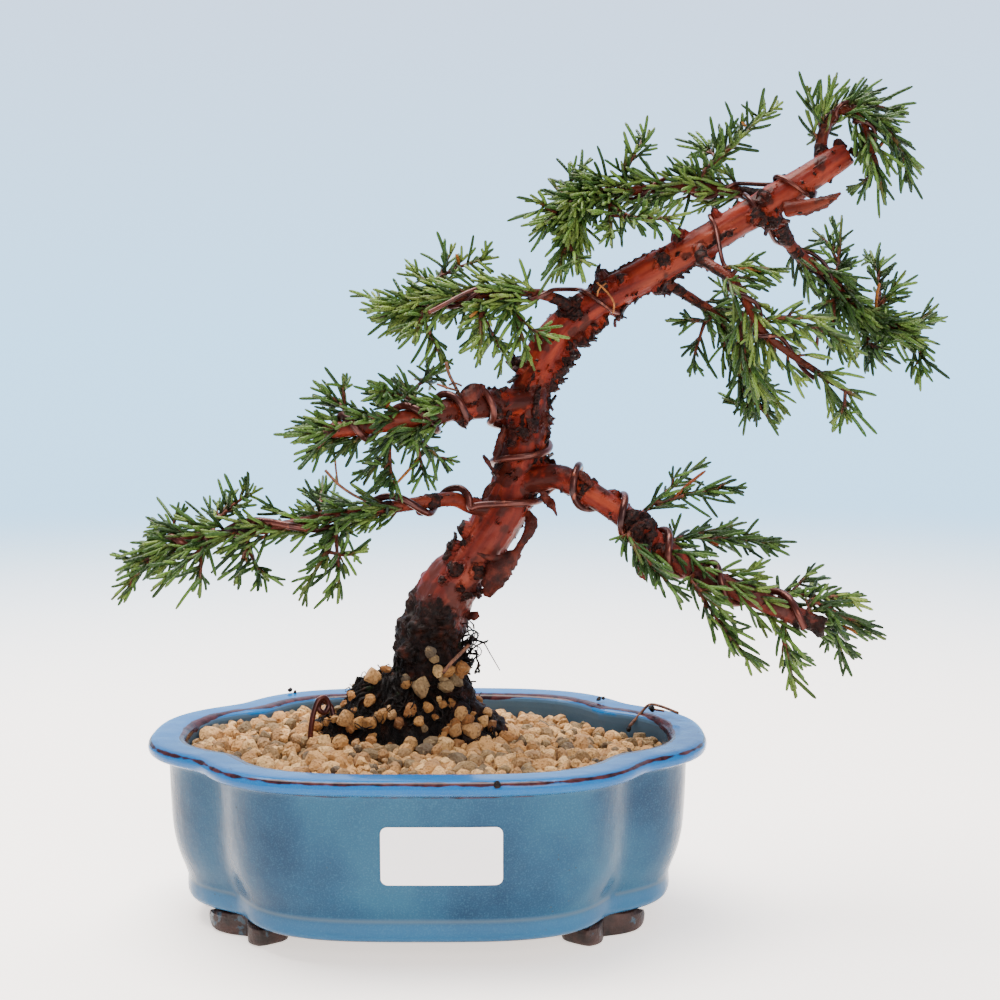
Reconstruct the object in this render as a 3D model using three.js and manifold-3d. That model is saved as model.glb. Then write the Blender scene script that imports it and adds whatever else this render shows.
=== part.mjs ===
// A kishu juniper bonsai, wired and planted in a lobed blue pot.
// Millimetres, +Z up, the pot's long side along X and its label facing -Y.
// Every place below is measured from the middle of the pot, on the surface it stands on.
// The last lines shift the whole tree so that its origin lies below the middle of its box.

import * as THREE from "three";
import { mergeVertices } from "three/addons/utils/BufferGeometryUtils.js";
import Module from "manifold-3d";

const wasm = await Module();
wasm.setup();

// Pot: two crossed rounded rectangles make the lobed outline with a notch at each corner.
const POT_LENGTH = 190;
const POT_WIDTH = 136;
const POT_HEIGHT = 63;
const LONG_LOBE = { halfLength: POT_LENGTH / 2, halfWidth: 50, power: 2.7 };
const WIDE_LOBE = { halfLength: 75, halfWidth: POT_WIDTH / 2, power: 3.4 };
const NOTCH_SOFTNESS = 0.45;
const POT_SECTORS = 48;
const FOOT_HEIGHT = 7;
const FLOOR_TOP = 12.5;
const DRAIN_RADIUS = 7;
const DRAIN_X = 38;

// Soil: gravel raised as larger grains than life, with a mound round the roots.
const SOIL_LEVEL = 56.5;
const SOIL_FALL = 3;
const MOUND = { x: -6, y: 8, height: 13, reachX: 24, reachY: 15 };
const GRAIN_CELL = 6;
const GRAIN_HEIGHT = 1.7;

// Clearance between pieces that touch.
const GAP = 0.3;

// Label: blank, on the front wall.
const LABEL = { width: 38, height: 19, thickness: 0.5, x: 6.5, z: 37.5 };

// Wire and foliage.
const MAIN_WIRE = 1.25;
const FINE_WIRE = 0.75;
const COIL_POINTS = 8;
const SHOOT_LENGTH = 12.5;
const SHOOT_RADIUS = 0.6;
const SHOOT_SPACING = 4.4;
const SHOOT_SPLAY = THREE.MathUtils.degToRad(40);
const GOLDEN_ANGLE = THREE.MathUtils.degToRad(137.5);
const STEM_RADIUS = 1.3;

// The wood, one row for each control point: x, y, z and the radius there.
const LIMBS = {
  trunk: [
    [1, 14, 35, 6], [1, 14, 47, 13], [1, 14, 59, 16], [0.5, 14, 68, 15.5],
    [-0.5, 13, 80, 12], [0, 12, 92, 10.5], [7, 10, 110, 9.7], [18.5, 9, 125.5, 8.8],
    [28, 7, 142, 8.1], [32.4, 6, 160, 7.5], [33.4, 6, 171, 6.8], [35.4, 7, 181, 6.2],
    [40, 8, 192, 6.7], [48.4, 8, 202, 6.8], [60, 7, 210.5, 6.3], [75, 5, 219, 5.8],
    [92, 3, 228.5, 5.4], [108, 1, 238, 5.5], [123, -1, 247, 5.2], [139.5, -3, 258, 4.1],
  ],
  low_left: [
    [26, 6, 138, 3.4], [16, 2, 139.5, 2.9], [8, -2, 142.5, 2.5], [-5, -8, 141.5, 2.3],
    [-24.5, -14, 139, 2], [-54.5, -18, 134, 1.7], [-77, -20, 131.5, 1.5], [-84, -21, 128.5, 1.3],
  ],
  mid_left: [
    [33, 4, 175, 4.8], [24.5, -2, 175, 4.7], [16.5, -7, 174.5, 4.7], [8.5, -12, 173.5, 4],
    [0, -17, 171, 3.3], [-19.5, -23, 168.5, 2.9], [-30.5, -25, 167, 2.6],
  ],
  high_left: [
    [51, 6, 203.5, 2], [44.5, 2, 209.5, 1.9], [32, -2, 212, 1.6], [18, -1, 211, 1.4],
    [1, 2, 208.5, 1.2], [-7.5, 2, 206.5, 1.1],
  ],
  top_left: [
    [118, 4, 243, 2.4], [104, 12, 246.5, 2], [84, 13, 248, 1.9], [65, 10, 246, 1.6],
    [57.5, 8, 245.5, 1.4], [51.5, 5, 241.5, 1.3], [48.5, 3, 233.5, 1.1],
  ],
  apex: [
    [131, 0, 254, 2.3], [132, 0, 265, 1.9], [136, -5, 271, 1.6], [142.5, -9, 268, 1.3],
    [146, -12, 256, 1.1],
  ],
  right_high: [
    [115.5, 6, 240.5, 3.4], [125.5, 17, 228, 2.2], [140.5, 24, 217, 1.9], [147, 26, 209, 1.8],
    [156, 27, 203, 1.6], [166, 27, 200.5, 1.3],
  ],
  front_hang: [
    [91, -3, 227, 2.3], [92, -8, 222, 2], [100.5, -15, 215.5, 1.8], [107.5, -20, 202.5, 1.5],
    [113, -21, 195.5, 1.4], [133, -22, 182, 1.1],
  ],
  back_hang: [
    [77.5, 10, 218, 2], [94, 20, 209, 1.7], [102, 22, 203, 1.6], [109.5, 23, 186.5, 1.3],
    [113, 22, 178, 1.1],
  ],
  low_right: [
    [33, 4, 148.5, 4.8], [43, -2, 150.5, 4.4], [49.5, -6, 148.5, 4.4], [62.5, -13, 140.5, 4],
    [74.5, -18, 131, 3.6], [88.5, -22, 121, 3.4], [105, -26, 114, 3.2], [129, -30, 103.5, 3.1],
  ],
  torn_stub: [[119, -4, 239, 2.7], [127, -8, 240.5, 2], [135, -11, 242.5, 0.7]],
};

// Surface roots that run from the foot of the trunk into the soil.
const ROOTS = [
  [[-4, 13, 71, 6], [-20, 9, 67, 4.2], [-33, 5, 61, 3.2], [-42, 2, 51, 2]],
  [[6, 13, 71, 6], [17, 10, 65, 4], [25, 8, 59, 3], [30, 7, 50, 2]],
  [[-2, 8, 71, 6], [-8, -3, 64, 3.6], [-12, -11, 51, 2.2]],
  [[4, 9, 71, 6], [11, -2, 63, 3.4], [15, -9, 51, 2.2]],
  [[3, 18, 69, 6], [8, 29, 62, 3.4], [11, 36, 51, 2.2]],
  [[-4, 18, 69, 6], [-16, 27, 62, 3.4], [-22, 32, 51, 2.2]],
];

// Broken twig ends on the trunk: place along it, angle round it, length and radius.
const SNAGS = [
  [0.44, 150, 4, 2], [0.51, 20, 5, 1.8], [0.6, 330, 4, 2], [0.68, 200, 5, 2.2],
  [0.745, 15, 4, 2.4], [0.79, 165, 4, 2], [0.83, 25, 5, 2.2],
];

// Sprays of foliage: each row is the place along the limb that a spray grows from, then the
// tips of its stems. The first stem grows from the limb and the others fork from it.
const SPRAYS = {
  low_left: [
    [1, [-102, -26, 112], [-100, -10, 123]],
    [0.92, [-93, -6, 135], [-81, -16, 141]],
    [0.82, [-86, -40, 117], [-71, -36, 116]],
    [0.8, [-64, -2, 146], [-53, -20, 148]],
    [0.74, [-65, -8, 114], [-50, -30, 119]],
    [0.62, [-36, 4, 150], [-30, 14, 141]],
    [0.6, [-40, -34, 113], [-28, -24, 112], [-18, -34, 130]],
  ],
  mid_left: [
    [0.97, [-45, -28, 165], [-39, -36, 156]],
    [0.89, [-37, -14, 183], [-25, -30, 184]],
    [0.76, [-21, -10, 148], [-10, -26, 146]],
    [0.68, [-10, -4, 185], [-16, -40, 180], [7, 8, 186]],
    [0.7, [8, 4, 152], [1, -16, 148]],
  ],
  high_left: [
    [1, [-19, -2, 203], [-17, 10, 213]],
    [0.86, [-4, -14, 195], [6, 2, 189]],
    [0.76, [-8, 16, 222], [9, 12, 228], [24, 2, 224]],
    [0.6, [18, -18, 188], [29, 6, 188]],
    [0.46, [36, -8, 186], [43, -13, 197]],
  ],
  top_left: [
    [1, [43, -4, 215], [54, -14, 221]],
    [0.92, [34, 2, 231], [37, -8, 242]],
    [0.84, [41, 14, 251], [56, 24, 259]],
    [0.58, [61, -14, 226], [74, -8, 235], [88, -2, 238]],
    [0.48, [67, 6, 260], [77, 14, 267]],
    [0.26, [108, 4, 266], [121, 16, 277], [94, 28, 263]],
  ],
  apex: [
    [0.24, [137, 4, 285], [125, -6, 279]],
    [0.54, [150, 10, 281], [159, 0, 271]],
    [0.8, [160, -16, 251], [162, 2, 246]],
    [1, [150, -12, 240], [140, 0, 247]],
  ],
  right_high: [
    [1, [180, 30, 209], [171, 22, 181]],
    [0.78, [164, 14, 220], [157, 38, 228]],
    [0.8, [156, 34, 185], [158, 8, 193]],
    [0.4, [145, 30, 240], [136, 36, 235]],
    [0.5, [132, 10, 208], [141, 14, 194]],
  ],
  front_hang: [
    [1, [141, -24, 177], [129, -34, 170]],
    [0.38, [118, -20, 218], [108, -6, 222]],
    [0.55, [103, -14, 185], [110, -24, 177], [119, -10, 172]],
    [0.64, [131, -32, 203], [143, -14, 192]],
  ],
  back_hang: [
    [1, [122, 20, 165], [103, 26, 176]],
    [0.36, [81, 10, 203], [90, 14, 185]],
    [0.5, [102, 26, 221], [118, 34, 198]],
  ],
  low_right: [
    [0.5, [94, -4, 157], [105, -14, 148]],
    [0.62, [109, 4, 134], [121, -4, 127]],
    [0.52, [70, -32, 125], [85, -34, 113]],
    [0.72, [99, -40, 107], [109, -30, 89]],
    [0.92, [147, -18, 110], [130, -6, 118]],
    [0.94, [119, -38, 82], [124, -16, 90]],
    [0.97, [149, -32, 100], [140, -14, 87]],
  ],
};

const AWAY = new THREE.Vector3(0, 1, 0);

const finish = {
  pot: new THREE.MeshStandardMaterial({ color: 0x2f7fae, roughness: 0.25 }),
  gravel: new THREE.MeshStandardMaterial({ color: 0xc8a279, roughness: 0.9 }),
  bark: new THREE.MeshStandardMaterial({ color: 0x7a3420, roughness: 0.75 }),
  foliage: new THREE.MeshStandardMaterial({ color: 0x4f7d35, roughness: 0.6 }),
  wire: new THREE.MeshStandardMaterial({ color: 0x5a3328, roughness: 0.4, metalness: 0.8 }),
  screen: new THREE.MeshStandardMaterial({ color: 0x1d2420, roughness: 0.8 }),
  label: new THREE.MeshStandardMaterial({ color: 0xf4f3ef, roughness: 0.5 }),
};

// A repeatable draw between 0 and 1 for each whole number.
function draw(number) {
  const wave = Math.sin(number * 12.9898) * 43758.5453;
  return wave - Math.floor(wave);
}

// A closed geometry as a solid that can be joined and cut.
function solid(geometry) {
  const bare = new THREE.BufferGeometry();
  const whole = geometry.index ? geometry.toNonIndexed() : geometry;
  bare.setAttribute("position", whole.getAttribute("position"));
  const merged = mergeVertices(bare, 1e-3);
  const corners = [];
  for (let i = 0; i < merged.index.count; i += 3) {
    const [a, b, c] = merged.index.array.slice(i, i + 3);
    if (a !== b && b !== c && c !== a) corners.push(a, b, c);
  }
  const vertProperties = merged.attributes.position.array;
  const triVerts = new Uint32Array(corners);
  return new wasm.Manifold(new wasm.Mesh({ numProp: 3, vertProperties, triVerts }));
}

function joined(solids) {
  return solids.reduce((whole, next) => whole.add(next));
}

// A solid as a named mesh.
function named(name, body, material) {
  const { vertProperties, triVerts } = body.getMesh();
  const geometry = new THREE.BufferGeometry();
  geometry.setAttribute("position", new THREE.BufferAttribute(vertProperties, 3));
  geometry.setIndex(new THREE.BufferAttribute(triVerts, 1));
  geometry.computeVertexNormals();
  const mesh = new THREE.Mesh(geometry, material);
  mesh.name = name;
  return mesh;
}

// Distance from the pot's middle to its outline, drawn in from the rim by inset.
function outlineRadius(angle, inset) {
  const reach = (lobe) => {
    const along = Math.abs(Math.cos(angle)) / (lobe.halfLength - inset);
    const across = Math.abs(Math.sin(angle)) / (lobe.halfWidth - inset);
    return (along ** lobe.power + across ** lobe.power) ** (-1 / lobe.power);
  };
  const [long, wide] = [reach(LONG_LOBE), reach(WIDE_LOBE)];
  const blend = Math.exp(NOTCH_SOFTNESS * (wide - long));
  return long + Math.log(1 + blend) / NOTCH_SOFTNESS;
}

// A closed shell that follows the outline. A profile row is an inset and a height, and a row
// with no inset lies on the middle line.
function lobedShell(profile) {
  const turned = new THREE.LatheGeometry(
    profile.map(([inset, height]) => new THREE.Vector2(inset === null ? 0 : 1, height)),
    POT_SECTORS,
  );
  const place = turned.getAttribute("position");
  for (let i = 0; i < place.count; i++) {
    const [inset, height] = profile[i % profile.length];
    const angle = (Math.floor(i / profile.length) / POT_SECTORS) * Math.PI * 2;
    const radius = inset === null ? 0 : outlineRadius(angle, inset);
    place.setXYZ(i, radius * Math.cos(angle), radius * Math.sin(angle), height);
  }
  return solid(turned);
}

// The outer wall above the foot bead: its inset from the rim and its height.
const WALL = [[11.8, 17], [8.6, 25], [7.2, 35], [6.8, POT_HEIGHT - 8]];

function wallInset(height) {
  const above = Math.max(WALL.findIndex((row) => row[1] > height), 1);
  const [[insetA, heightA], [insetB, heightB]] = [WALL[above - 1], WALL[above]];
  return THREE.MathUtils.mapLinear(height, heightA, heightB, insetA, insetB);
}

// A foot hugs a notch of the base: two lobes with a dent between them, narrower at the floor.
const FOOT = { notchAngle: 0.51, halfSweep: 0.21, inset: 16.5, bulge: 2.4, depth: 9, steps: 6 };

function foot(sideX, sideY) {
  const { notchAngle, halfSweep, inset, bulge, steps } = FOOT;
  const middle = Math.atan2(Math.sin(notchAngle) * sideY, Math.cos(notchAngle) * sideX);
  const edge = (step, depth) => {
    const along = (step / steps) * 2 - 1;
    const swell = bulge * Math.abs(Math.sin(along * Math.PI));
    const angle = middle + along * halfSweep;
    const radius = outlineRadius(angle, inset + depth - (depth ? 0 : swell));
    return new THREE.Vector2(radius * Math.cos(angle), radius * Math.sin(angle));
  };
  const plan = [];
  for (let step = 0; step <= steps; step++) plan.push(edge(step, 0));
  for (let step = steps; step >= 0; step -= steps / 2) plan.push(edge(step, FOOT.depth));
  const depth = FOOT_HEIGHT + 0.6;
  const block = new THREE.ExtrudeGeometry(new THREE.Shape(plan), { depth, bevelEnabled: false });
  const place = block.getAttribute("position");
  const centre = edge(steps / 2, FOOT.depth / 2);
  for (let i = 0; i < place.count; i++) {
    const taper = place.getZ(i) < 1 ? 0.93 : 1;
    place.setX(i, centre.x + (place.getX(i) - centre.x) * taper);
    place.setY(i, centre.y + (place.getY(i) - centre.y) * taper);
  }
  return solid(block);
}

// Glazed shell with its lip, foot bead, feet and two drain holes.
function pot() {
  const rim = POT_HEIGHT;
  const base = FOOT_HEIGHT;
  const shell = lobedShell([
    [null, base], [15.5, base], [12.6, base + 2], [12.2, base + 6], ...WALL,
    [5.4, rim - 5.5], [0.6, rim - 4.2], [0, rim - 2], [1.6, rim], [11.4, rim - 0.4],
    [12.6, rim - 3], [13, 35], [17, FLOOR_TOP + 3], [23, FLOOR_TOP], [null, FLOOR_TOP],
  ]);
  const feet = [[1, 1], [1, -1], [-1, 1], [-1, -1]].map(([x, y]) => foot(x, y));
  let body = joined([shell, ...feet]);
  for (const side of [-1, 1]) {
    const drain = new THREE.CylinderGeometry(DRAIN_RADIUS, DRAIN_RADIUS, 20, 12);
    drain.rotateX(Math.PI / 2).translate(side * DRAIN_X, 0, FLOOR_TOP);
    body = body.subtract(solid(drain));
  }
  return body;
}

// A square of plastic mesh that keeps the soil off a drain hole.
const SCREEN = { side: 19, thickness: 1, hole: 4, pitch: 5.5 };

function drainScreen(side) {
  const { side: width, thickness, hole, pitch } = SCREEN;
  const middle = FLOOR_TOP + GAP + thickness / 2;
  const sheet = new THREE.BoxGeometry(width, width, thickness);
  let body = solid(sheet.translate(side * DRAIN_X, 0, middle));
  for (const i of [-1, 0, 1]) {
    for (const j of [-1, 0, 1]) {
      const cut = new THREE.BoxGeometry(hole, hole, 2 * thickness);
      body = body.subtract(solid(cut.translate(side * DRAIN_X + i * pitch, j * pitch, middle)));
    }
  }
  return body;
}

// A line through rows of x, y, z and radius, in straight steps from row to row. Its frame turns
// smoothly, as on the curve through the same rows.
class Line {
  constructor(rows) {
    this.rows = rows;
    this.points = rows.map(([x, y, z]) => new THREE.Vector3(x, y, z));
    this.curve = new THREE.CatmullRomCurve3(this.points, false, "catmullrom", 0.5);
  }
  // The row before a place, and how far the place is from it towards the next row.
  step(t) {
    const last = this.rows.length - 1;
    const index = Math.min(Math.floor(t * last), last - 1);
    return [index, t * last - index];
  }
  at(t) {
    const [index, part] = this.step(t);
    return this.points[index].clone().lerp(this.points[index + 1], part);
  }
  radius(t) {
    const [index, part] = this.step(t);
    return THREE.MathUtils.lerp(this.rows[index][3], this.rows[index + 1][3], part);
  }
  // The way along the line, and two directions square to it. The last one points away in depth.
  frame(t) {
    const along = this.curve.getTangent(t);
    const side = along.clone().cross(AWAY).normalize();
    return { along, side, away: side.clone().cross(along) };
  }
  // A direction square to the line, turned round it by angle.
  outward(t, angle) {
    const { side, away } = this.frame(t);
    return side.multiplyScalar(Math.cos(angle)).addScaledVector(away, Math.sin(angle));
  }
}

// A closed tapered tube bent along a line. The radius is grown to cut a hole round it.
function tube(line, sides, steps, grow = 0) {
  const pointed = line.radius(1) === 0;
  const straight = new THREE.CylinderGeometry(pointed ? 0 : 1, 1, 1, sides, steps);
  const place = straight.getAttribute("position");
  for (let i = 0; i < place.count; i++) {
    const [x, y, z] = [place.getX(i), place.getY(i) + 0.5, place.getZ(i)];
    const round = Math.hypot(x, z);
    const { side, away } = line.frame(y);
    const point = line.at(y);
    if (round > 1e-6) {
      const radius = line.radius(y) + grow;
      point.addScaledVector(side, (x / round) * radius).addScaledVector(away, (z / round) * radius);
    }
    place.setXYZ(i, point.x, point.y, point.z);
  }
  return solid(straight);
}

const lines = {};
for (const [name, rows] of Object.entries(LIMBS)) lines[name] = new Line(rows);

// Short broken ends that stand out of the trunk.
function snag([t, degrees, length, radius]) {
  const start = lines.trunk.at(t);
  const way = lines.trunk.outward(t, THREE.MathUtils.degToRad(degrees));
  const reach = lines.trunk.radius(t) + length;
  const middle = start.clone().addScaledVector(way, reach / 2);
  const end = start.clone().addScaledVector(way, reach);
  end.z += length / 2;
  return new Line([
    [...start.toArray(), radius], [...middle.toArray(), radius], [...end.toArray(), radius / 2],
  ]);
}

const rootLines = ROOTS.map((rows) => new Line(rows));
const snagLines = SNAGS.map(snag);

function wood() {
  const pieces = [];
  for (const [name, line] of Object.entries(lines)) {
    const sides = name === "trunk" ? 10 : name === "low_right" || name === "mid_left" ? 7 : 6;
    pieces.push(tube(line, sides, line.rows.length - 1));
  }
  for (const line of rootLines) pieces.push(tube(line, 5, line.rows.length - 1));
  for (const line of snagLines) pieces.push(tube(line, 5, 2));
  return joined(pieces);
}

// The gravel's height before its grains are raised.
function groundLevel(x, y) {
  const toBackRight = THREE.MathUtils.clamp((x + 0.8 * y) / 90, 0, 1);
  const moundX = (x - MOUND.x) / MOUND.reachX;
  const moundY = (y - MOUND.y) / MOUND.reachY;
  const mound = MOUND.height * Math.exp(-moundX * moundX - moundY * moundY);
  return SOIL_LEVEL - SOIL_FALL * toBackRight + mound;
}

// Gravel fills the pot up to the mound. Every third corner of its grid is the top of a grain.
function soil() {
  const columns = Math.ceil(POT_LENGTH / GRAIN_CELL);
  const rows = Math.ceil(POT_WIDTH / GRAIN_CELL);
  const [width, depth] = [columns * GRAIN_CELL, rows * GRAIN_CELL];
  const bed = new THREE.BoxGeometry(width, depth, POT_HEIGHT, columns, rows, 1);
  const place = bed.getAttribute("position");
  for (let i = 0; i < place.count; i++) {
    const column = Math.round((place.getX(i) + width / 2) / GRAIN_CELL);
    const row = Math.round((place.getY(i) + depth / 2) / GRAIN_CELL);
    if (place.getZ(i) < 0) {
      place.setZ(i, 0);
      continue;
    }
    const grain = column * 97 + row;
    const x = place.getX(i) + (draw(grain) - 0.5) * GRAIN_CELL * 0.5;
    const y = place.getY(i) + (draw(grain + 0.3) - 0.5) * GRAIN_CELL * 0.5;
    const raised = (column + row) % 3 === 0 ? GRAIN_HEIGHT : -GRAIN_HEIGHT / 2;
    place.setXYZ(i, x, y, groundLevel(x, y) + raised * (0.6 + 0.8 * draw(grain + 0.6)));
  }
  const inside = lobedShell([
    [null, FLOOR_TOP + GAP], [23 + GAP, FLOOR_TOP + GAP], [13 + 2 * GAP, 35],
    [12.6 + 2 * GAP, 95], [null, 95],
  ]);
  let body = solid(bed).intersect(inside);
  for (const side of [-1, 1]) {
    const room = SCREEN.side + 2 * GAP;
    const recess = new THREE.BoxGeometry(room, room, SCREEN.thickness + 2 * GAP);
    recess.translate(side * DRAIN_X, 0, FLOOR_TOP + GAP + SCREEN.thickness / 2);
    body = body.subtract(solid(recess));
  }
  const hole = [lines.trunk, ...rootLines, tieLine].map((line) => {
    const sides = line === lines.trunk ? 10 : 5;
    return tube(line, sides, line.rows.length - 1, GAP);
  });
  return body.subtract(joined(hole));
}

// Points that wind round a line. They stand off it so that no straight step between them cuts
// the wood.
function coil(line, from, to, turns, startDegrees, wire) {
  const count = Math.max(2, Math.round(Math.abs(turns) * COIL_POINTS));
  const points = [];
  for (let i = 0; i <= count; i++) {
    const t = THREE.MathUtils.lerp(from, to, i / count);
    const angle = THREE.MathUtils.degToRad(startDegrees) + (i / count) * turns * Math.PI * 2;
    const radius = (line.radius(t) + wire + 2 * GAP) / Math.cos(Math.PI / COIL_POINTS);
    points.push(line.at(t).addScaledVector(line.outward(t, angle), radius));
  }
  return points;
}

const point = (x, y, z) => new THREE.Vector3(x, y, z);

// Training wires: the thickness and the route of each.
const WIRES = {
  wire_low: {
    radius: MAIN_WIRE,
    route: [
      ...coil(lines.low_left, 0.96, 0.2, 3.25, 180, MAIN_WIRE),
      point(17, -3.4, 140.5), point(23, -3.4, 141), point(29, -3.6, 141.2),
      point(34.5, -1.6, 141.4), point(38.5, 3, 142), point(42, 6.4, 145.5),
      ...coil(lines.low_right, 0.24, 0.97, -4.5, 60, MAIN_WIRE),
    ],
  },
  wire_mid_left: {
    radius: MAIN_WIRE,
    route: [
      ...coil(lines.trunk, 0.445, 0.5, -1, 40, MAIN_WIRE),
      ...coil(lines.mid_left, 0.24, 0.97, -3.75, 0, MAIN_WIRE),
    ],
  },
  wire_high_left: {
    radius: FINE_WIRE,
    route: [
      ...coil(lines.trunk, 0.76, 0.715, 0.75, 90, FINE_WIRE),
      ...coil(lines.high_left, 0.25, 0.8, 1.75, 200, FINE_WIRE),
    ],
  },
  wire_top_left: {
    radius: FINE_WIRE,
    route: [
      ...coil(lines.trunk, 0.96, 0.93, 0.7, 150, FINE_WIRE),
      ...coil(lines.top_left, 0.14, 0.62, 2.25, 180, FINE_WIRE),
    ],
  },
  wire_front_hang: {
    radius: FINE_WIRE,
    route: [
      ...coil(lines.trunk, 0.865, 0.86, -0.6, 140, FINE_WIRE),
      ...coil(lines.front_hang, 0.3, 0.95, 2.5, 0, FINE_WIRE),
    ],
  },
  wire_right: {
    radius: FINE_WIRE,
    route: [
      ...coil(lines.trunk, 0.9, 0.905, -0.6, 0, FINE_WIRE),
      ...coil(lines.right_high, 0.12, 0.72, -1.75, 180, FINE_WIRE),
    ],
  },
  wire_apex: {
    radius: FINE_WIRE,
    route: [...coil(lines.apex, 0.3, 0.95, 2.25, 0, FINE_WIRE)],
  },
};

// The twisted end of the wire that ties the root ball down.
const tieLine = new Line([
  [-40, -6, 50, FINE_WIRE], [-39.6, -6, 62, FINE_WIRE], [-38.5, -4, 75, FINE_WIRE],
  [-35.5, -3, 73.5, FINE_WIRE],
]);

function wireSolid({ radius, route }) {
  const sides = radius === MAIN_WIRE ? 5 : 4;
  const ring = [];
  for (let i = 0; i < sides; i++) {
    const angle = (i / sides) * Math.PI * 2;
    ring.push(new THREE.Vector2(radius * Math.cos(angle), radius * Math.sin(angle)));
  }
  const extrudePath = new THREE.CatmullRomCurve3(route);
  const settings = { steps: route.length - 1, extrudePath, bevelEnabled: false };
  return solid(new THREE.ExtrudeGeometry(new THREE.Shape(ring), settings));
}

// The label is a thin sheet that follows the front wall.
function label() {
  const { width, height, thickness, x, z } = LABEL;
  const sheet = new THREE.BoxGeometry(width, thickness, height, 6, 1, 2);
  const place = sheet.getAttribute("position");
  for (let i = 0; i < place.count; i++) {
    const across = x + place.getX(i);
    const up = z + place.getZ(i);
    const inset = wallInset(up);
    const angle = Math.atan2(WIDE_LOBE.halfWidth - inset, across);
    const wall = outlineRadius(angle, inset) * Math.sin(angle);
    place.setXYZ(i, across, place.getY(i) - wall - GAP - thickness / 2, up);
  }
  return solid(sheet);
}

// Straight rods that stand for everything a shoot must stay clear of.
const rods = [];

function addRods(line, steps, owner) {
  for (let i = 0; i < steps; i++) {
    const [from, to] = [i / steps, (i + 1) / steps];
    const radius = Math.max(line.radius(from), line.radius(to));
    rods.push({ start: line.at(from), end: line.at(to), radius, owner });
  }
}

// The shortest distance between two straight pieces.
function distance(startA, endA, startB, endB) {
  const a = endA.clone().sub(startA);
  const b = endB.clone().sub(startB);
  const between = startA.clone().sub(startB);
  const [aa, ab, bb] = [a.dot(a), a.dot(b), b.dot(b)];
  const [ac, bc] = [a.dot(between), b.dot(between)];
  const flat = aa * bb - ab * ab;
  let s = flat > 1e-9 ? THREE.MathUtils.clamp((ab * bc - ac * bb) / flat, 0, 1) : 0;
  const t = THREE.MathUtils.clamp((ab * s + bc) / bb, 0, 1);
  s = THREE.MathUtils.clamp((ab * t - ac) / aa, 0, 1);
  return startA.clone().addScaledVector(a, s).distanceTo(startB.clone().addScaledVector(b, t));
}

function isClear(start, end, radius, owner) {
  return rods.every((rod) => rod.owner === owner
    || distance(start, end, rod.start, rod.end) > radius + rod.radius + GAP);
}

// The stems of a spray. The first one leaves the limb square to it, or straight on at its end.
function sprayStems(limb, [place, ...tips]) {
  const first = point(...tips[0]);
  const centre = limb.at(place);
  const { along } = limb.frame(place);
  const out = first.clone().sub(centre);
  if (place < 1) out.addScaledVector(along, -out.dot(along));
  else out.copy(along);
  out.normalize();
  const clearOf = place < 1 ? limb.radius(place) + GAP : GAP;
  const base = centre.clone().addScaledVector(out, clearOf);
  const knee = base.clone().addScaledVector(out, 3);
  const stem = new Line([
    [...base.toArray(), STEM_RADIUS],
    [...knee.toArray(), STEM_RADIUS],
    [...knee.clone().lerp(first, 0.5).toArray(), STEM_RADIUS * 0.8],
    [...first.toArray(), 0],
  ]);
  const forks = tips.slice(1).map((tip, i) => {
    const start = stem.at(0.4 + 0.15 * i);
    const end = point(...tip);
    const middle = start.clone().lerp(end, 0.5).addScaledVector(out, 2);
    return new Line([
      [...start.toArray(), STEM_RADIUS * 0.8],
      [...middle.toArray(), STEM_RADIUS * 0.7],
      [...end.toArray(), 0],
    ]);
  });
  return [stem, ...forks];
}

// Shoots stand out all round a stem, each turned by the golden angle from the last one.
function shoots(stem, seed, owner) {
  const length = stem.curve.getLength();
  const count = Math.round(length / SHOOT_SPACING);
  const found = [];
  for (let i = 0; i < count; i++) {
    const t = 0.2 + (0.6 * i) / Math.max(count - 1, 1);
    const { along } = stem.frame(t);
    const out = stem.outward(t, i * GOLDEN_ANGLE + seed);
    const way = along.multiplyScalar(Math.cos(SHOOT_SPLAY)).addScaledVector(out, Math.sin(SHOOT_SPLAY));
    const reach = SHOOT_LENGTH * (1.15 - 0.65 * t) * (0.85 + 0.3 * draw(seed + i));
    const start = stem.at(t);
    const end = start.clone().addScaledVector(way, reach);
    const shown = start.clone().addScaledVector(way, STEM_RADIUS + GAP);
    if (!isClear(shown, end, SHOOT_RADIUS * 0.8, owner)) continue;
    rods.push({ start: shown, end, radius: SHOOT_RADIUS * 0.6, owner });
    found.push(new Line([
      [...start.toArray(), Math.min(SHOOT_RADIUS, 0.5 * stem.radius(t))],
      [...end.toArray(), 0],
    ]));
  }
  return found;
}

const tree = new THREE.Group();
tree.add(named("pot", pot(), finish.pot));
tree.add(named("soil", soil(), finish.gravel));
tree.add(named("trunk_and_branches", wood(), finish.bark));
tree.add(named("label", label(), finish.label));
tree.add(named("tie_down_wire", tube(tieLine, 5, 9), finish.wire));
tree.add(named("drain_screen_left", drainScreen(-1), finish.screen));
tree.add(named("drain_screen_right", drainScreen(1), finish.screen));
for (const [name, wire] of Object.entries(WIRES)) {
  tree.add(named(name, wireSolid(wire), finish.wire));
}

for (const line of [...Object.values(lines), ...snagLines]) {
  addRods(line, 2 * (line.rows.length - 1), "wood");
}
for (const { radius, route } of Object.values(WIRES)) {
  for (let i = 1; i < route.length; i++) {
    rods.push({ start: route[i - 1], end: route[i], radius, owner: "wire" });
  }
}

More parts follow.
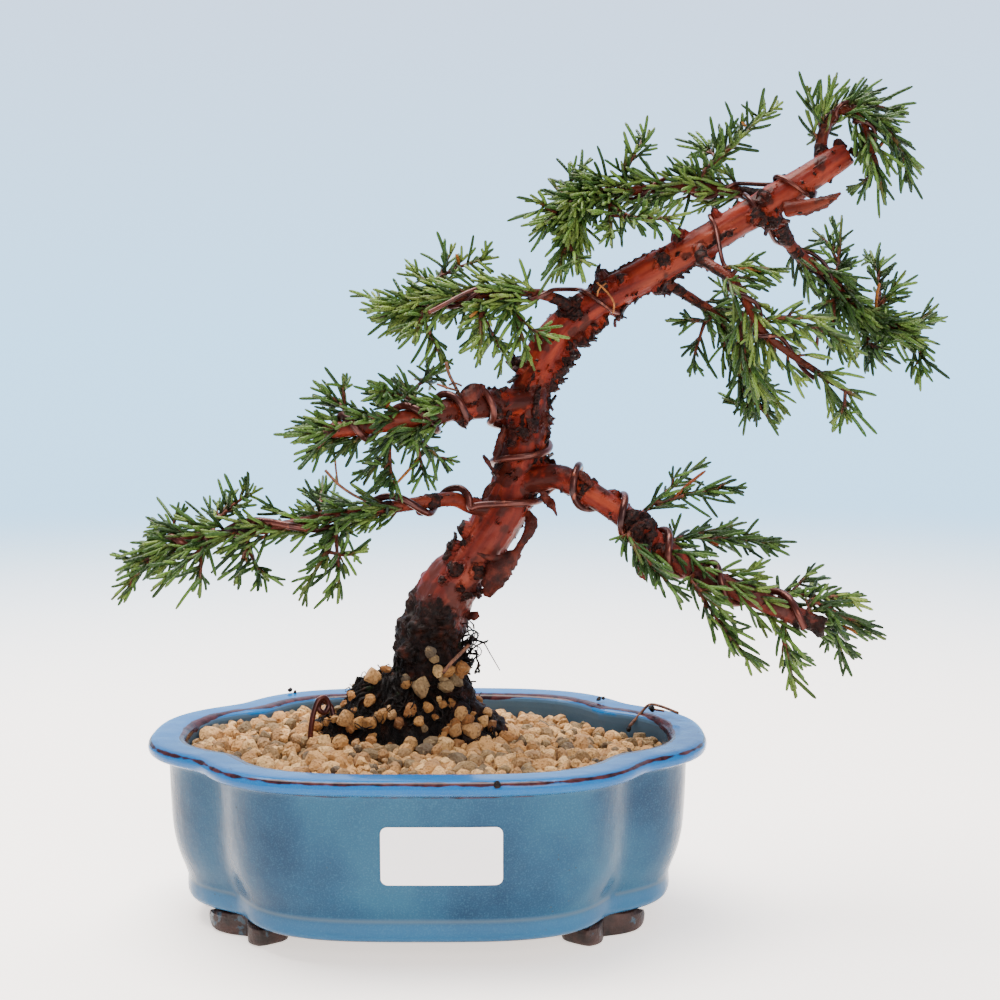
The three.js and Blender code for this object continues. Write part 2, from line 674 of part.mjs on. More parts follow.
const sprays = [];
for (const [limbName, rows] of Object.entries(SPRAYS)) {
  rows.forEach((row, i) => {
    const name = "spray_" + limbName + "_" + (i + 1);
    sprays.push({ name, stems: sprayStems(lines[limbName], row) });
  });
}
for (const { name, stems } of sprays) for (const stem of stems) addRods(stem, 4, name);
sprays.forEach(({ name, stems }, order) => {
  const pieces = [];
  stems.forEach((stem, i) => {
    pieces.push(tube(stem, 3, stem.rows.length - 1));
    for (const shoot of shoots(stem, order * 7 + i * 31, name)) pieces.push(tube(shoot, 3, 1));
  });
  tree.add(named(name, joined(pieces), finish.foliage));
});

const box = new THREE.Box3().setFromObject(tree);
const centre = box.getCenter(new THREE.Vector3());
tree.position.set(-centre.x, -centre.y, -box.min.z);

export default tree;
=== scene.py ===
# %% [markdown]
# # A kishu juniper in a lobed blue pot
# The frame gives plain solids for every piece of this bonsai, at its real size and place: the
# pot, the gravel, the wood, the training wires and forty-six sprays of foliage. This file makes
# the pieces that are seen: glazed clay, loose stones, peeling bark, cord-like shoots. It is read
# from top to bottom, one piece at a time.

# %% Load the frame
import math
import bmesh
import bpy
import numpy as np
from mathutils import Matrix, Vector, noise
from mathutils.bvhtree import BVHTree


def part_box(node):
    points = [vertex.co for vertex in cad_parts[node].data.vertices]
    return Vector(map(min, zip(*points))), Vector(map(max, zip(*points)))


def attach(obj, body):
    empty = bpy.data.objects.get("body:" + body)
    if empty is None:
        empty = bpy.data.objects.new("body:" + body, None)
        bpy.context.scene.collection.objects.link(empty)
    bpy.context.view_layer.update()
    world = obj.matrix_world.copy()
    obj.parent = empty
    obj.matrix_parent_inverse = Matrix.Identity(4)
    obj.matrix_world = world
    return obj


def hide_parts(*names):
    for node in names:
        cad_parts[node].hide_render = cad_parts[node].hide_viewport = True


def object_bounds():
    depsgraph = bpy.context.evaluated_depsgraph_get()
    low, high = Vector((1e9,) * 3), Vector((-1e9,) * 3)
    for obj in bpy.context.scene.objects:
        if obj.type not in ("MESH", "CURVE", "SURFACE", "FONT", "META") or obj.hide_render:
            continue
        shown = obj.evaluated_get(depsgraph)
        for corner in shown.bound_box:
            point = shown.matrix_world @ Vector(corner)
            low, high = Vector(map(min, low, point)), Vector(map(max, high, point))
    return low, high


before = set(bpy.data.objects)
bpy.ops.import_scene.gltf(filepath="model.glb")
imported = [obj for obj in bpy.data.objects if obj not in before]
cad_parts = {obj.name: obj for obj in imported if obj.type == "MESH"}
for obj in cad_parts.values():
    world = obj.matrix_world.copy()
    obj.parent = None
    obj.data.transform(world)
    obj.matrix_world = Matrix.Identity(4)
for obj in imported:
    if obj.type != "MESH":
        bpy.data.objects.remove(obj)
cad_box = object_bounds()
print(len(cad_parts), "nodes in the frame")

# %% [markdown]
# ## Measuring in millimetres
# Blender works in metres, but a bonsai is easier to think about in millimetres from the middle
# of its pot. Two small functions turn one into the other, and everything below is written in
# millimetres until the moment a mesh is made.

# %% Millimetres from the middle of the pot
MM = 0.001
pot_low, pot_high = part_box("pot")
ORIGIN = np.array([(pot_low.x + pot_high.x) / 2, (pot_low.y + pot_high.y) / 2, 0])


def metres(points):
    return np.asarray(points, float) * MM + ORIGIN


def millimetres(points):
    return (np.asarray(points, float) - ORIGIN) / MM


def unit(vectors):
    return vectors / np.linalg.norm(vectors, axis=-1, keepdims=True)


BOX_LOW, BOX_HIGH = (millimetres(corner) for corner in cad_box)
print("the part spans", np.round(BOX_HIGH - BOX_LOW), "mm")

# %% [markdown]
# ## Small tools
# An operator works on whatever is selected, so each step starts by selecting one object and
# nothing else. A modifier is added, set and applied in one call, and a finished piece gets its
# name, its material and the body that it moves with in another.

# %% Selecting, modifiers and finishing a piece
def only(piece):
    bpy.ops.object.select_all(action="DESELECT")
    piece.select_set(True)
    bpy.context.view_layer.objects.active = piece
    return piece


def modify(piece, kind, **settings):
    only(piece)
    bpy.ops.object.modifier_add(type=kind)
    modifier = piece.modifiers[-1]
    for setting, value in settings.items():
        setattr(modifier, setting, value)
    bpy.ops.object.modifier_apply(modifier=modifier.name)
    return piece


def close_edit():
    """Turn every face of the edited mesh outward and go back to object mode."""
    bpy.ops.mesh.select_all(action="SELECT")
    bpy.ops.mesh.normals_make_consistent(inside=False)
    bpy.ops.object.mode_set(mode="OBJECT")


def joined(pieces):
    only(pieces[0])
    for piece in pieces[1:]:
        piece.select_set(True)
    bpy.ops.object.join()
    return pieces[0]


def ready(piece, name, slot, material, *nodes):
    piece.name = piece.data.name = name
    piece.data.materials.clear()
    piece.data.materials.append(material)
    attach(piece, "root")
    if nodes:
        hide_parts(*nodes)
    print(name, "has", len(piece.data.polygons), "faces")
    return piece


# %% Meshes from points
def in_scene(name, data):
    """A new object that carries a mesh, a curve, a lamp or a camera."""
    piece = bpy.data.objects.new(name, data)
    bpy.context.collection.objects.link(piece)
    return piece


def shade(piece, smooth=True):
    piece.data.polygons.foreach_set("use_smooth", [smooth] * len(piece.data.polygons))
    return piece


def new_piece(name, points, faces):
    mesh = bpy.data.meshes.new(name)
    mesh.from_pydata(metres(points).tolist(), [], [list(face) for face in faces])
    mesh.update()
    return shade(in_scene(name, mesh))


def for_each_vertex(piece, field):
    flat = np.empty(len(piece.data.vertices) * 3)
    piece.data.vertices.foreach_get(field, flat)
    return flat.reshape(-1, 3)


def places_of(piece):
    return millimetres(for_each_vertex(piece, "co"))


def move_to(piece, points):
    piece.data.vertices.foreach_set("co", metres(points).ravel())
    piece.data.update()


def mark(piece, name, values):
    """Keep one number for each vertex, for the material to read."""
    values = np.asarray(values, float)
    kind, field = ("FLOAT", "value") if values.ndim == 1 else ("FLOAT_VECTOR", "vector")
    attribute = piece.data.attributes.new(name, kind, "POINT")
    attribute.data.foreach_set(field, values.ravel())


# %% [markdown]
# ## Copies of a small shape
# A shoot or a pebble is modelled once. Its vertices and faces are then read, and every copy
# is written with places of its own into one mesh. That is quicker than thousands of objects,
# and the mesh can be exported as it is.

# %% Read a shape once and stamp it many times
def shape_of(piece):
    """The vertices of a modelled shape in its own units, with its faces, and the piece removed."""
    points = np.array([vertex.co for vertex in piece.data.vertices])
    faces = [list(face.vertices) for face in piece.data.polygons]
    bpy.data.objects.remove(piece)
    return points, faces


def stamped(name, places, faces):
    """One mesh from places, which has one array of vertices for each copy of the faces."""
    count, size = places.shape[:2]
    corners = np.concatenate(faces)
    starts = np.cumsum([0] + [len(face) for face in faces[:-1]])
    mesh = bpy.data.meshes.new(name)
    mesh.vertices.add(count * size)
    mesh.vertices.foreach_set("co", metres(places.reshape(-1, 3)).ravel())
    mesh.loops.add(count * len(corners))
    shifted = corners[None] + size * np.arange(count)[:, None]
    mesh.loops.foreach_set("vertex_index", shifted.ravel())
    mesh.polygons.add(count * len(faces))
    shifted = starts[None] + len(corners) * np.arange(count)[:, None]
    mesh.polygons.foreach_set("loop_start", shifted.ravel())
    mesh.update(calc_edges=True)
    return shade(in_scene(name, mesh))


# %% [markdown]
# ## Lines and tubes
# Wood, roots, wires and stems all follow a line. A line here passes smoothly through a few rows
# of x, y, z and radius, and it knows at each place which way it runs and which two directions
# lie square to it. A tube is then a ring of points carried along the line.

# %% A smooth line through rows
AWAY = np.array([0, 1, 0])


class Line:
    def __init__(self, rows):
        self.rows = np.array(rows, float)
        before = 2 * self.rows[0] - self.rows[1]
        after = 2 * self.rows[-1] - self.rows[-2]
        self.padded = np.vstack([before, self.rows, after])

    def near(self, t):
        steps = len(self.rows) - 1
        reach = np.atleast_1d(np.asarray(t, float)) * steps
        index = np.clip(np.floor(reach).astype(int), 0, steps - 1)
        return [self.padded[index + i] for i in range(4)], (reach - index)[:, None]

    def at(self, t):
        (a, b, c, d), u = self.near(t)
        bend = 2 * a - 5 * b + 4 * c - d + u * (3 * (b - c) + d - a)
        return (b + u / 2 * (c - a + u * bend))[:, :3]

    def radius(self, t):
        (_, b, c, _), u = self.near(t)
        return (b + u * (c - b))[:, 3]

    def frame(self, t):
        (a, b, c, d), u = self.near(t)
        slope = c - a + 2 * u * (2 * a - 5 * b + 4 * c - d) + 3 * u * u * (3 * (b - c) + d - a)
        along = unit(slope[:, :3])
        side = unit(np.cross(along, AWAY))
        return along, side, np.cross(side, along)

    def outward(self, t, angle):
        _, side, away = self.frame(t)
        angle = np.atleast_1d(angle)[:, None]
        return side * np.cos(angle) + away * np.sin(angle)

    def beside(self, t, angle, gap=0.0):
        """The point at an angle round the line, a gap outside its radius."""
        return (self.at(t) + self.outward(t, angle) * (self.radius(t) + gap)[:, None])[0]

    def length(self):
        points = self.at(np.linspace(0, 1, 30))
        return np.linalg.norm(np.diff(points, axis=0), axis=1).sum()


# %% Tubes
def tubes(name, lines, sides, spacing):
    """One mesh of closed tubes, with a ring about every so many millimetres."""
    points, faces, along_share = [], [], []
    turns = np.linspace(0, 2 * math.pi, sides, endpoint=False)
    for line in lines:
        steps = max(3, round(line.length() / spacing))
        t = np.linspace(0, 1, steps + 1)
        _, side, away = line.frame(t)
        first = len(points)
        for i in range(steps + 1):
            ring = np.outer(np.cos(turns), side[i]) + np.outer(np.sin(turns), away[i])
            points.extend(line.at(t[i]) + ring * max(line.radius(t[i])[0], 0.05))
            along_share.extend([t[i]] * sides)
        for i in range(steps):
            for j in range(sides):
                a, b = first + i * sides + j, first + i * sides + (j + 1) % sides
                faces.append((a, b, b + sides, a + sides))
        faces.append(range(first + sides - 1, first - 1, -1))
        faces.append(range(first + steps * sides, first + (steps + 1) * sides))
    piece = only(new_piece(name, points, faces))
    bpy.ops.object.mode_set(mode="EDIT")
    close_edit()
    mark(piece, "share", along_share)
    return piece


def bent_rod(name, points, radii, roundness):
    """A round rod along points, made as a curve with a bevel and turned into a mesh."""
    curve = bpy.data.curves.new(name, "CURVE")
    curve.dimensions = "3D"
    curve.bevel_depth = MM
    curve.bevel_resolution = roundness
    curve.use_fill_caps = True
    spline = curve.splines.new("POLY")
    spline.points.add(len(points) - 1)
    for place, point, radius in zip(spline.points, metres(points), radii):
        place.co = (*point, 1)
        place.radius = radius
    rod = only(in_scene(name, curve))
    bpy.ops.object.convert(target="MESH")
    return rod


# %% [markdown]
# ## Shader maths as expressions
# A material is a sheet of nodes. To keep the sums readable, a socket is wrapped in a small
# class, so that adding or multiplying two values adds the Math node for it. Every other node
# is made by one method, which sets its options first and then feeds its sockets.

# %% A finish and its values
class Value:
    def __init__(self, finish, socket):
        self.finish = finish
        self.socket = socket

    def math(self, operation, first, second):
        return self.finish.node("Math", {"operation": operation}, {0: first, 1: second})

    def __add__(self, other):
        return self.math("ADD", self, other)

    def __sub__(self, other):
        return self.math("SUBTRACT", self, other)

    def __rsub__(self, other):
        return self.math("SUBTRACT", other, self)

    def __mul__(self, other):
        return self.math("MULTIPLY", self, other)

    __radd__ = __add__
    __rmul__ = __mul__


def colour(code):
    """A colour such as "5f9436", as light rather than as screen values."""
    parts = [int(code[i:i + 2], 16) / 255 for i in (0, 2, 4)]
    return (*[part / 12.92 if part < 0.04 else ((part + 0.055) / 1.055) ** 2.4 for part in parts], 1)


class Finish:
    def __init__(self, name):
        self.material = bpy.data.materials.new(name)
        self.material.use_nodes = True
        self.nodes = self.material.node_tree.nodes
        self.surface = self.nodes["Principled BSDF"]

    def node(self, kind, settings, inputs, output=0):
        made = self.nodes.new("ShaderNode" + kind)
        for setting, value in settings.items():
            if setting == "stops":
                while len(made.color_ramp.elements) < len(value):
                    made.color_ramp.elements.new(1)
                for element, (place, code) in zip(made.color_ramp.elements, value):
                    element.position = place
                    element.color = colour(code)
            else:
                setattr(made, setting, value)
        for name, value in inputs.items():
            self.feed(made.inputs[name], value)
        return Value(self, made.outputs[output])

    def feed(self, socket, value):
        if isinstance(value, Value):
            self.material.node_tree.links.new(value.socket, socket)
        else:
            socket.default_value = value

    def paint(self, **inputs):
        for name, value in inputs.items():
            self.feed(self.surface.inputs[name.replace("_", " ")], value)
        return self.material

    def place(self):
        return self.node("TexCoord", {}, {}, 3)

    def kept(self, name, output=2):
        return self.node("Attribute", {"attribute_name": name}, {}, output)

    def grain(self, place, size, detail=2.0, output=0):
        """Soft noise whose spots are about size millimetres wide."""
        inputs = {"Vector": place, "Scale": 1 / (size * MM), "Detail": detail}
        return self.node("TexNoise", {}, inputs, output)

    def step(self, value, low, high):
        """0 below low, 1 above high, and smooth between them."""
        inputs = {0: value, 1: low, 2: high}
        return self.node("MapRange", {"interpolation_type": "SMOOTHSTEP"}, inputs)

    def ramp(self, value, *stops):
        return self.node("ValToRGB", {"stops": stops}, {0: value})

    def mix(self, share, first, second):
        return self.node("Mix", {"data_type": "RGBA"}, {0: share, 6: first, 7: second}, 2)

    def part(self, vector, axis):
        """One coordinate of a vector, where axis is 0, 1 or 2."""
        return self.node("SeparateXYZ", {}, {0: vector}, axis)

    def relief(self, height, depth):
        """The bump of a height, depth in millimetres."""
        inputs = {"Height": height, "Distance": depth * MM, "Strength": 1.0}
        return self.node("Bump", {}, inputs)


# %% [markdown]
# ## The pot
# The real pot is pressed stoneware with a blue glaze. Seen from above it is two crossed rounded
# rectangles, so each corner has a soft notch. It could be cut from a block, but a potter's
# profile carried round the outline is closer to how it is made: one ring of edges is extruded
# again and again, and each new ring is set to the inset and height of the next profile row.

# %% The outline with its four notches
POT_LENGTH = round((pot_high.x - pot_low.x) / MM)
POT_WIDTH = round((pot_high.y - pot_low.y) / MM)
POT_HEIGHT = pot_high.z / MM
LONG_LOBE = (POT_LENGTH / 2, 50, 2.7)
WIDE_LOBE = (75, POT_WIDTH / 2, 3.4)
NOTCH_SOFTNESS = 0.45


def outline(angle, inset):
    """How far the outline lies from the middle, drawn in from the rim by inset."""
    def reach(half_length, half_width, power):
        along = np.abs(np.cos(angle)) / (half_length - inset)
        across = np.abs(np.sin(angle)) / (half_width - inset)
        return (along ** power + across ** power) ** (-1 / power)

    long, wide = reach(*LONG_LOBE), reach(*WIDE_LOBE)
    return long + np.log1p(np.exp(NOTCH_SOFTNESS * (wide - long))) / NOTCH_SOFTNESS


print("pot", POT_LENGTH, "by", POT_WIDTH, "mm, notch at", round(float(outline(0.55, 0)), 1))

# %% Profile rows, from the underside up over the lip and down the inside
RIM = POT_HEIGHT
UNDERSIDE = (24, 7.5)
PROFILE = [
    (16.4, 7.2), (14.8, 7.2), (13.3, 7.9), (12.4, 9.2), (12.1, 11), (12.2, 13), (12.4, 14.8),
    (11.9, 17), (10.9, 19.7), (9.6, 23), (8.5, 27), (7.7, 32), (7.25, 38), (7, 45), (6.9, 51),
    (6.8, 54.3), (6.5, 56), (5.6, 57), (3.4, 57.7), (1.5, 58), (0.4, 58.7), (0, 59.9),
    (0, 61.1), (0.6, 62.3), (1.9, RIM), (4, RIM), (7, RIM - 0.1), (9.6, RIM - 0.2),
    (11.3, RIM - 0.6), (12.3, RIM - 1.6), (12.7, RIM - 3.4), (13, 50), (13.3, 35), (14.7, 22),
    (17.5, 15.8), (23, 12.7), (36, 12.5),
]
SECTORS = 160


def set_ring(vertices, inset, height):
    for vertex in vertices:
        x, y, _ = vertex.co
        if math.hypot(x, y) < 1e-6:
            vertex.co.z = height
            continue
        angle = math.atan2(y, x)
        radius = float(outline(angle, inset))
        vertex.co = (radius * math.cos(angle), radius * math.sin(angle), height)


# %% Extrude the ring up the profile
def lobed_shell(name, first, rows):
    bpy.ops.mesh.primitive_circle_add(vertices=SECTORS, radius=1, fill_type="TRIFAN")
    piece = bpy.context.object
    bpy.ops.object.mode_set(mode="EDIT")
    mesh = bmesh.from_edit_mesh(piece.data)
    set_ring(mesh.verts, *first)
    bpy.ops.mesh.select_all(action="DESELECT")
    bpy.ops.mesh.select_mode(type="EDGE")
    bpy.ops.mesh.select_non_manifold()
    for inset, height in rows:
        bpy.ops.mesh.extrude_edges_move()
        set_ring([vertex for vertex in mesh.verts if vertex.select], inset, height)
    bpy.ops.mesh.extrude_edges_move()
    bpy.ops.mesh.merge(type="CENTER")
    close_edit()
    piece.name = name
    piece.data.transform(Matrix.Scale(MM, 4))
    piece.data.transform(Matrix.Translation(ORIGIN))
    return modify(piece, "SUBSURF", levels=1, render_levels=1)


shell = lobed_shell("pot_shell", UNDERSIDE, PROFILE)
print("the shell has", len(shell.data.polygons), "faces")

# %% Two drain holes
DRAIN_RADIUS = 7
DRAIN_X = 38
for side in (-1, 1):
    spot = metres([side * DRAIN_X, 0, 10])
    bpy.ops.mesh.primitive_cylinder_add(vertices=32, radius=DRAIN_RADIUS * MM, depth=0.02, location=spot)
    drill = bpy.context.object
    modify(shell, "BOOLEAN", object=drill, operation="DIFFERENCE")
    bpy.data.objects.remove(drill)

# %% [markdown]
# Where a glaze runs thin over an edge, the iron-rich clay shows through as a broken brown line.
# The shader can't find an edge by itself, so each vertex keeps a number that says how close it
# is to one of the pot's edges: the lip's outer and inner edge, the line under the lip and the
# foot line. Noise in the material then breaks the line up.

# %% Mark the edges where the glaze breaks
def near_value(values, middle, width):
    return np.exp(-((values - middle) / width) ** 2)


def glaze_break(points):
    angle = np.arctan2(points[:, 1], points[:, 0])
    inset = outline(angle, 0) - np.hypot(points[:, 0], points[:, 1])
    height = points[:, 2]
    lip_outer = near_value(inset, 0.6, 1) * near_value(height, 62.2, 0.9)
    under_lip = near_value(inset, 6.3, 0.9) * near_value(height, 56.4, 0.6)
    lip_inner = near_value(inset, 11.9, 1.3) * near_value(height, RIM - 1.2, 1.6)
    foot_line = near_value(height, 7.4, 0.8)
    return np.clip(1.1 * lip_outer + 0.9 * under_lip + 3 * lip_inner + foot_line, 0, 1.2)


LIP_START = 57
LIP_WIDTH = 12.4
FLOOR_TOP = 14
pot_places = places_of(shell)
mark(shell, "edge", glaze_break(pot_places))
pot_reach = np.hypot(pot_places[:, 0], pot_places[:, 1])
pot_turn = np.arctan2(pot_places[:, 1], pot_places[:, 0])
on_lip = np.clip((pot_places[:, 2] - LIP_START) / 3, 0, 1) * (pot_reach > outline(pot_turn, LIP_WIDTH))
mark(shell, "rim", on_lip)
# Painted shade: the inside of the pot is marked for a greyer blue, the look of the same glaze in shade
inside_in_shade = (pot_reach < outline(pot_turn, LIP_WIDTH - 0.2)) * (pot_places[:, 2] > FLOOR_TOP)
mark(shell, "inside", inside_in_shade)

# %% The blue glaze
def glaze():
    finish = Finish("blue_glaze")
    place = finish.place()
    cloud = finish.grain(place, 34, 3)
    body = finish.ramp(cloud, (0.34, "12304a"), (0.5, "193e59"), (0.66, "214b64"))
    height = finish.part(place, 2)
    low_band = finish.step(height, 0.017, 0.0125) * finish.step(height, 0.0075, 0.009)
    body = finish.mix(low_band * 0.6, body, colour("2c6088"))
    body = finish.mix(finish.kept("rim") * 0.85, body, colour("125a96"))
    fine = finish.grain(place, 0.5, 2)
    body = finish.mix(finish.step(fine, 0.45, 0.75) * 0.2, body, colour("457a90"))
    # Painted shade: the inner wall takes a greyer blue, the look of the glaze in shade
    body = finish.mix(finish.kept("inside") * 0.8, body, colour("485a68"))
    ragged = finish.kept("edge") + (finish.grain(place, 7, 4) - 0.5) * 1.4
    clay = finish.ramp(finish.grain(place, 3, 3), (0.35, "1c0f16"), (0.65, "422225"))
    body = finish.mix(finish.step(ragged, 0.55, 0.85), body, clay)
    speck = finish.node("TexVoronoi", {}, {"Vector": place, "Scale": 420.0}, 0)
    crowd = finish.step(finish.grain(place, 22, 2), 0.52, 0.7)
    dirt = finish.step(speck, 0.17, 0.1) * finish.step(finish.grain(place, 4, 1), 0.5, 0.56) * crowd
    body = finish.mix(dirt, body, colour("1c2426"))
    ripple = finish.grain(place, 9, 2) + finish.grain(place, 1.6, 2) * 0.12
    rough = finish.step(finish.grain(place, 15, 3), 0.3, 0.7) * 0.12 + dirt * 0.4 + 0.14
    return finish.paint(Base_Color=body, Roughness=rough, Specular_IOR_Level=0.14,
                        Normal=finish.relief(ripple, 0.35))


glaze_finish = glaze()
ready(shell, "pot_shell", "pot_glaze", glaze_finish, "pot")

# %% [markdown]
# ## The feet
# Four low feet sit under the notches. Each is two soft lobes with a groove between them, of bare
# dark clay with smears of glaze. A foot is a flat ring drawn to its plan, extruded down and drawn
# in a little at each step, then smoothed.

# %% One foot, drawn from its plan
FOOT = {"angle": 0.465, "sweep": 0.21, "inset": 14.5, "bulge": 2.4, "depth": 9}
FOOT_STEPS = [(7.7, 1), (4.5, 1), (2.2, 0.985), (0.9, 0.95), (0.05, 0.88)]


def foot_plan(share):
    """A point of the plan, where share runs from 0 to 1 once round it."""
    front = share < 0.7
    along = share / 0.7 * 2 - 1 if front else 1 - (share - 0.7) / 0.3 * 2
    swell = FOOT["bulge"] * (abs(math.sin(along * math.pi)) - 0.35) if front else -FOOT["depth"]
    angle = FOOT["angle"] + along * FOOT["sweep"]
    radius = float(outline(angle, FOOT["inset"] - swell))
    return radius * math.cos(angle), radius * math.sin(angle)


def foot():
    count = 40
    plan = np.array([foot_plan(i / count) for i in range(count)])
    centre = plan.mean(0)
    bpy.ops.mesh.primitive_circle_add(vertices=count, radius=1, fill_type="NGON")
    piece = bpy.context.object
    bpy.ops.object.mode_set(mode="EDIT")
    mesh = bmesh.from_edit_mesh(piece.data)
    ring = list(mesh.verts)
    for number, (height, scale) in enumerate(FOOT_STEPS):
        if number:
            bpy.ops.mesh.extrude_region_move()
            picked = [vertex for vertex in mesh.verts if vertex.select]
            ring = sorted(picked, key=lambda vertex: vertex.index)
        for vertex, point in zip(ring, plan):
            vertex.co = (*(centre + (point - centre) * scale), height)
        mesh.verts.index_update()
    close_edit()
    return piece


print("a foot stands at", np.round(foot_plan(0.35)), "mm")

# %% Four feet
feet = []
for side_x, side_y in ((1, 1), (-1, 1), (1, -1), (-1, -1)):
    one = foot()
    corners = np.array([vertex.co for vertex in one.data.vertices]) * (side_x, side_y, 1)
    move_to(one, corners)
    if side_x * side_y < 0:
        one.data.flip_normals()
    feet.append(modify(one, "SUBSURF", levels=1, render_levels=1))
feet = joined(feet)


def bare_clay():
    finish = Finish("bare_clay")
    place = finish.place()
    clay = finish.ramp(finish.grain(place, 6, 4), (0.35, "1a100e"), (0.7, "3d251f"))
    smear = finish.step(finish.grain(place, 5, 5), 0.56, 0.62)
    tone = finish.mix(smear * 0.6, clay, colour("34505f"))
    rough = 0.5 - smear * 0.3
    return finish.paint(Base_Color=tone, Roughness=rough, Specular_IOR_Level=0.3,
                        Normal=finish.relief(finish.grain(place, 1.2, 4), 0.4))


ready(feet, "pot_feet", "pot_glaze", bare_clay())

# %% [markdown]
# ## The label
# A paper label is stuck to the front wall. It carries nothing here. A grid is laid in front of
# the wall, its corners are drawn in to a radius, and each of its vertices is pushed back until it
# meets the glaze, so the paper follows the wall. A thin Solidify makes it a sheet.

# %% A sheet of paper on the wall
LABEL = {"margin": 0.1, "corner": 2.2, "lift": 0.12, "thickness": 0.25}


def surface_of(*pieces):
    points, faces = [], []
    for piece in pieces:
        first = len(points)
        points.extend(places_of(piece).tolist())
        faces.extend([[first + i for i in face.vertices] for face in piece.data.polygons])
    return BVHTree.FromPolygons(points, faces)


def label_sheet():
    low, high = (millimetres(corner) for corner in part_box("label"))
    half = np.array([high[0] - low[0], high[2] - low[2]]) / 2 - LABEL["margin"]
    middle = (low + high)[[0, 2]] / 2
    bpy.ops.mesh.primitive_grid_add(x_subdivisions=60, y_subdivisions=32, size=2)
    sheet = bpy.context.object
    wall = surface_of(shell)
    flat = np.array([vertex.co[:2] for vertex in sheet.data.vertices]) * half
    core = half - LABEL["corner"]
    over = np.maximum(np.abs(flat) - core, 0)
    reach = np.maximum(np.linalg.norm(over, axis=1), 1e-9)
    longest = np.maximum(over.max(axis=1), 1e-9)
    rounded = np.sign(flat) * (np.minimum(np.abs(flat), core) + over * (longest / reach)[:, None])
    points = []
    for across, up in rounded + middle:
        hit = wall.ray_cast(Vector((across, -POT_WIDTH, up)), Vector((0, 1, 0)))[0]
        points.append((across, hit.y - LABEL["lift"], up))
    move_to(sheet, points)
    return modify(sheet, "SOLIDIFY", thickness=LABEL["thickness"] * MM, offset=0)


def paper():
    finish = Finish("label_paper")
    place = finish.place()
    tone = finish.mix(finish.grain(place, 6, 3) * 0.3, colour("fdfafb"), colour("f4eff1"))
    return finish.paint(Base_Color=tone, Roughness=0.42,
                        Normal=finish.relief(finish.grain(place, 0.4, 3), 0.03))


ready(label_sheet(), "label_paper", "label_paper", paper(), "label")

# %% [markdown]
# ## The ground
# The pot is filled with loose gravel up to a low mound at the roots. What shows is only the top
# few layers of stones, so a plain dark bed fills the pot below them and closes every gap.

# %% The height of the ground and the bed below the stones
SOIL_LEVEL = 58.2
SOIL_FALL = 3.8
MOUND = {"x": -6, "y": 8, "height": 13, "reach_x": 24, "reach_y": 15}
STONE_DEPTH = 5.5


def ground(x, y):
    to_back_right = np.clip((x + 0.8 * y + 8) / 90, 0, 1)
    mound_x = (x - MOUND["x"]) / MOUND["reach_x"]
    mound_y = (y - MOUND["y"]) / MOUND["reach_y"]
    return SOIL_LEVEL - SOIL_FALL * to_back_right + MOUND["height"] * np.exp(-mound_x ** 2 - mound_y ** 2)


bed = lobed_shell("soil_bed", (24, 13.2), [(18, 16.5), (14.6, 30), (14.2, 40), (13.9, 49)]
                  + [(inset, 50) for inset in (14.4, 17, 21, 25, 29, 33, 37, 41, 44)])
bed_places = places_of(bed)
top = bed_places[:, 2] > 49.2
bed_places[top, 2] = ground(bed_places[top, 0], bed_places[top, 1]) - STONE_DEPTH
move_to(bed, bed_places)


def bed_earth():
    finish = Finish("bed_earth")
    tone = finish.ramp(finish.grain(finish.place(), 3, 4), (0.3, "2e2218"), (0.7, "6b5238"))
    return finish.paint(Base_Color=tone, Roughness=0.9)


ready(bed, "soil_bed", "gravel", bed_earth(), "soil")

# %% [markdown]
# ## Stones
# A stone starts as an icosphere, is stretched and knocked out of round with seeded random moves,
# and is kept as one of several shapes. Stones are then dropped into the pot one by one: each
# tries a few places and stays at the lowest one, resting on the stones below it. That packs them
# as a handful of gravel packs itself.

# %% Twelve shapes of stone
chance = np.random.default_rng(11)


def stone_shapes(count):
    shapes = []
    for seed in range(count):
        bpy.ops.mesh.primitive_ico_sphere_add(subdivisions=2, radius=1)
        stone = bpy.context.object
        bpy.ops.object.mode_set(mode="EDIT")
        bpy.ops.mesh.select_all(action="SELECT")
        bpy.ops.transform.resize(value=(1.22, 1.0, 0.8))
        bpy.ops.transform.vertex_random(offset=0.16, normal=0.6, seed=seed)
        bpy.ops.mesh.vertices_smooth(factor=0.3, repeat=1)
        bpy.ops.object.mode_set(mode="OBJECT")
        points, faces = shape_of(stone)
        for way in unit(chance.normal(size=(7, 3))):
            over = np.maximum(points @ way - 0.62, 0)
            points -= over[:, None] * way * 0.85
        shapes.append(points / np.abs(points).max(axis=1).mean())
    return np.array(shapes), faces


STONE_SHAPES, STONE_FACES = stone_shapes(12)
print(len(STONE_SHAPES), "stones of", len(STONE_FACES), "faces")

# %% Drop stones until the pot is full
WALL_INSET = 13.2
MAT = {"x": -7, "y": 8, "reach_x": 33, "reach_y": 20.5}


def mat_share(x, y):
    """Below 1 inside the mat of roots round the trunk, above 1 outside it."""
    ragged = 0.2 * noise.noise(Vector((x * 0.11, y * 0.11, 3)))
    return math.hypot((x - MAT["x"]) / MAT["reach_x"], (y - MAT["y"]) / MAT["reach_y"]) + ragged


def rest_height(x, y, size, cells, base):
    height = base + size * 0.6
    column, line = int(x // 8), int(y // 8)
    for i in (column - 1, column, column + 1):
        for j in (line - 1, line, line + 1):
            for other_x, other_y, other_z, other in cells.get((i, j), ()):
                apart = (x - other_x) ** 2 + (y - other_y) ** 2
                touch = (0.8 * (size + other)) ** 2
                if apart < touch:
                    height = max(height, other_z + math.sqrt(touch - apart))
    return height


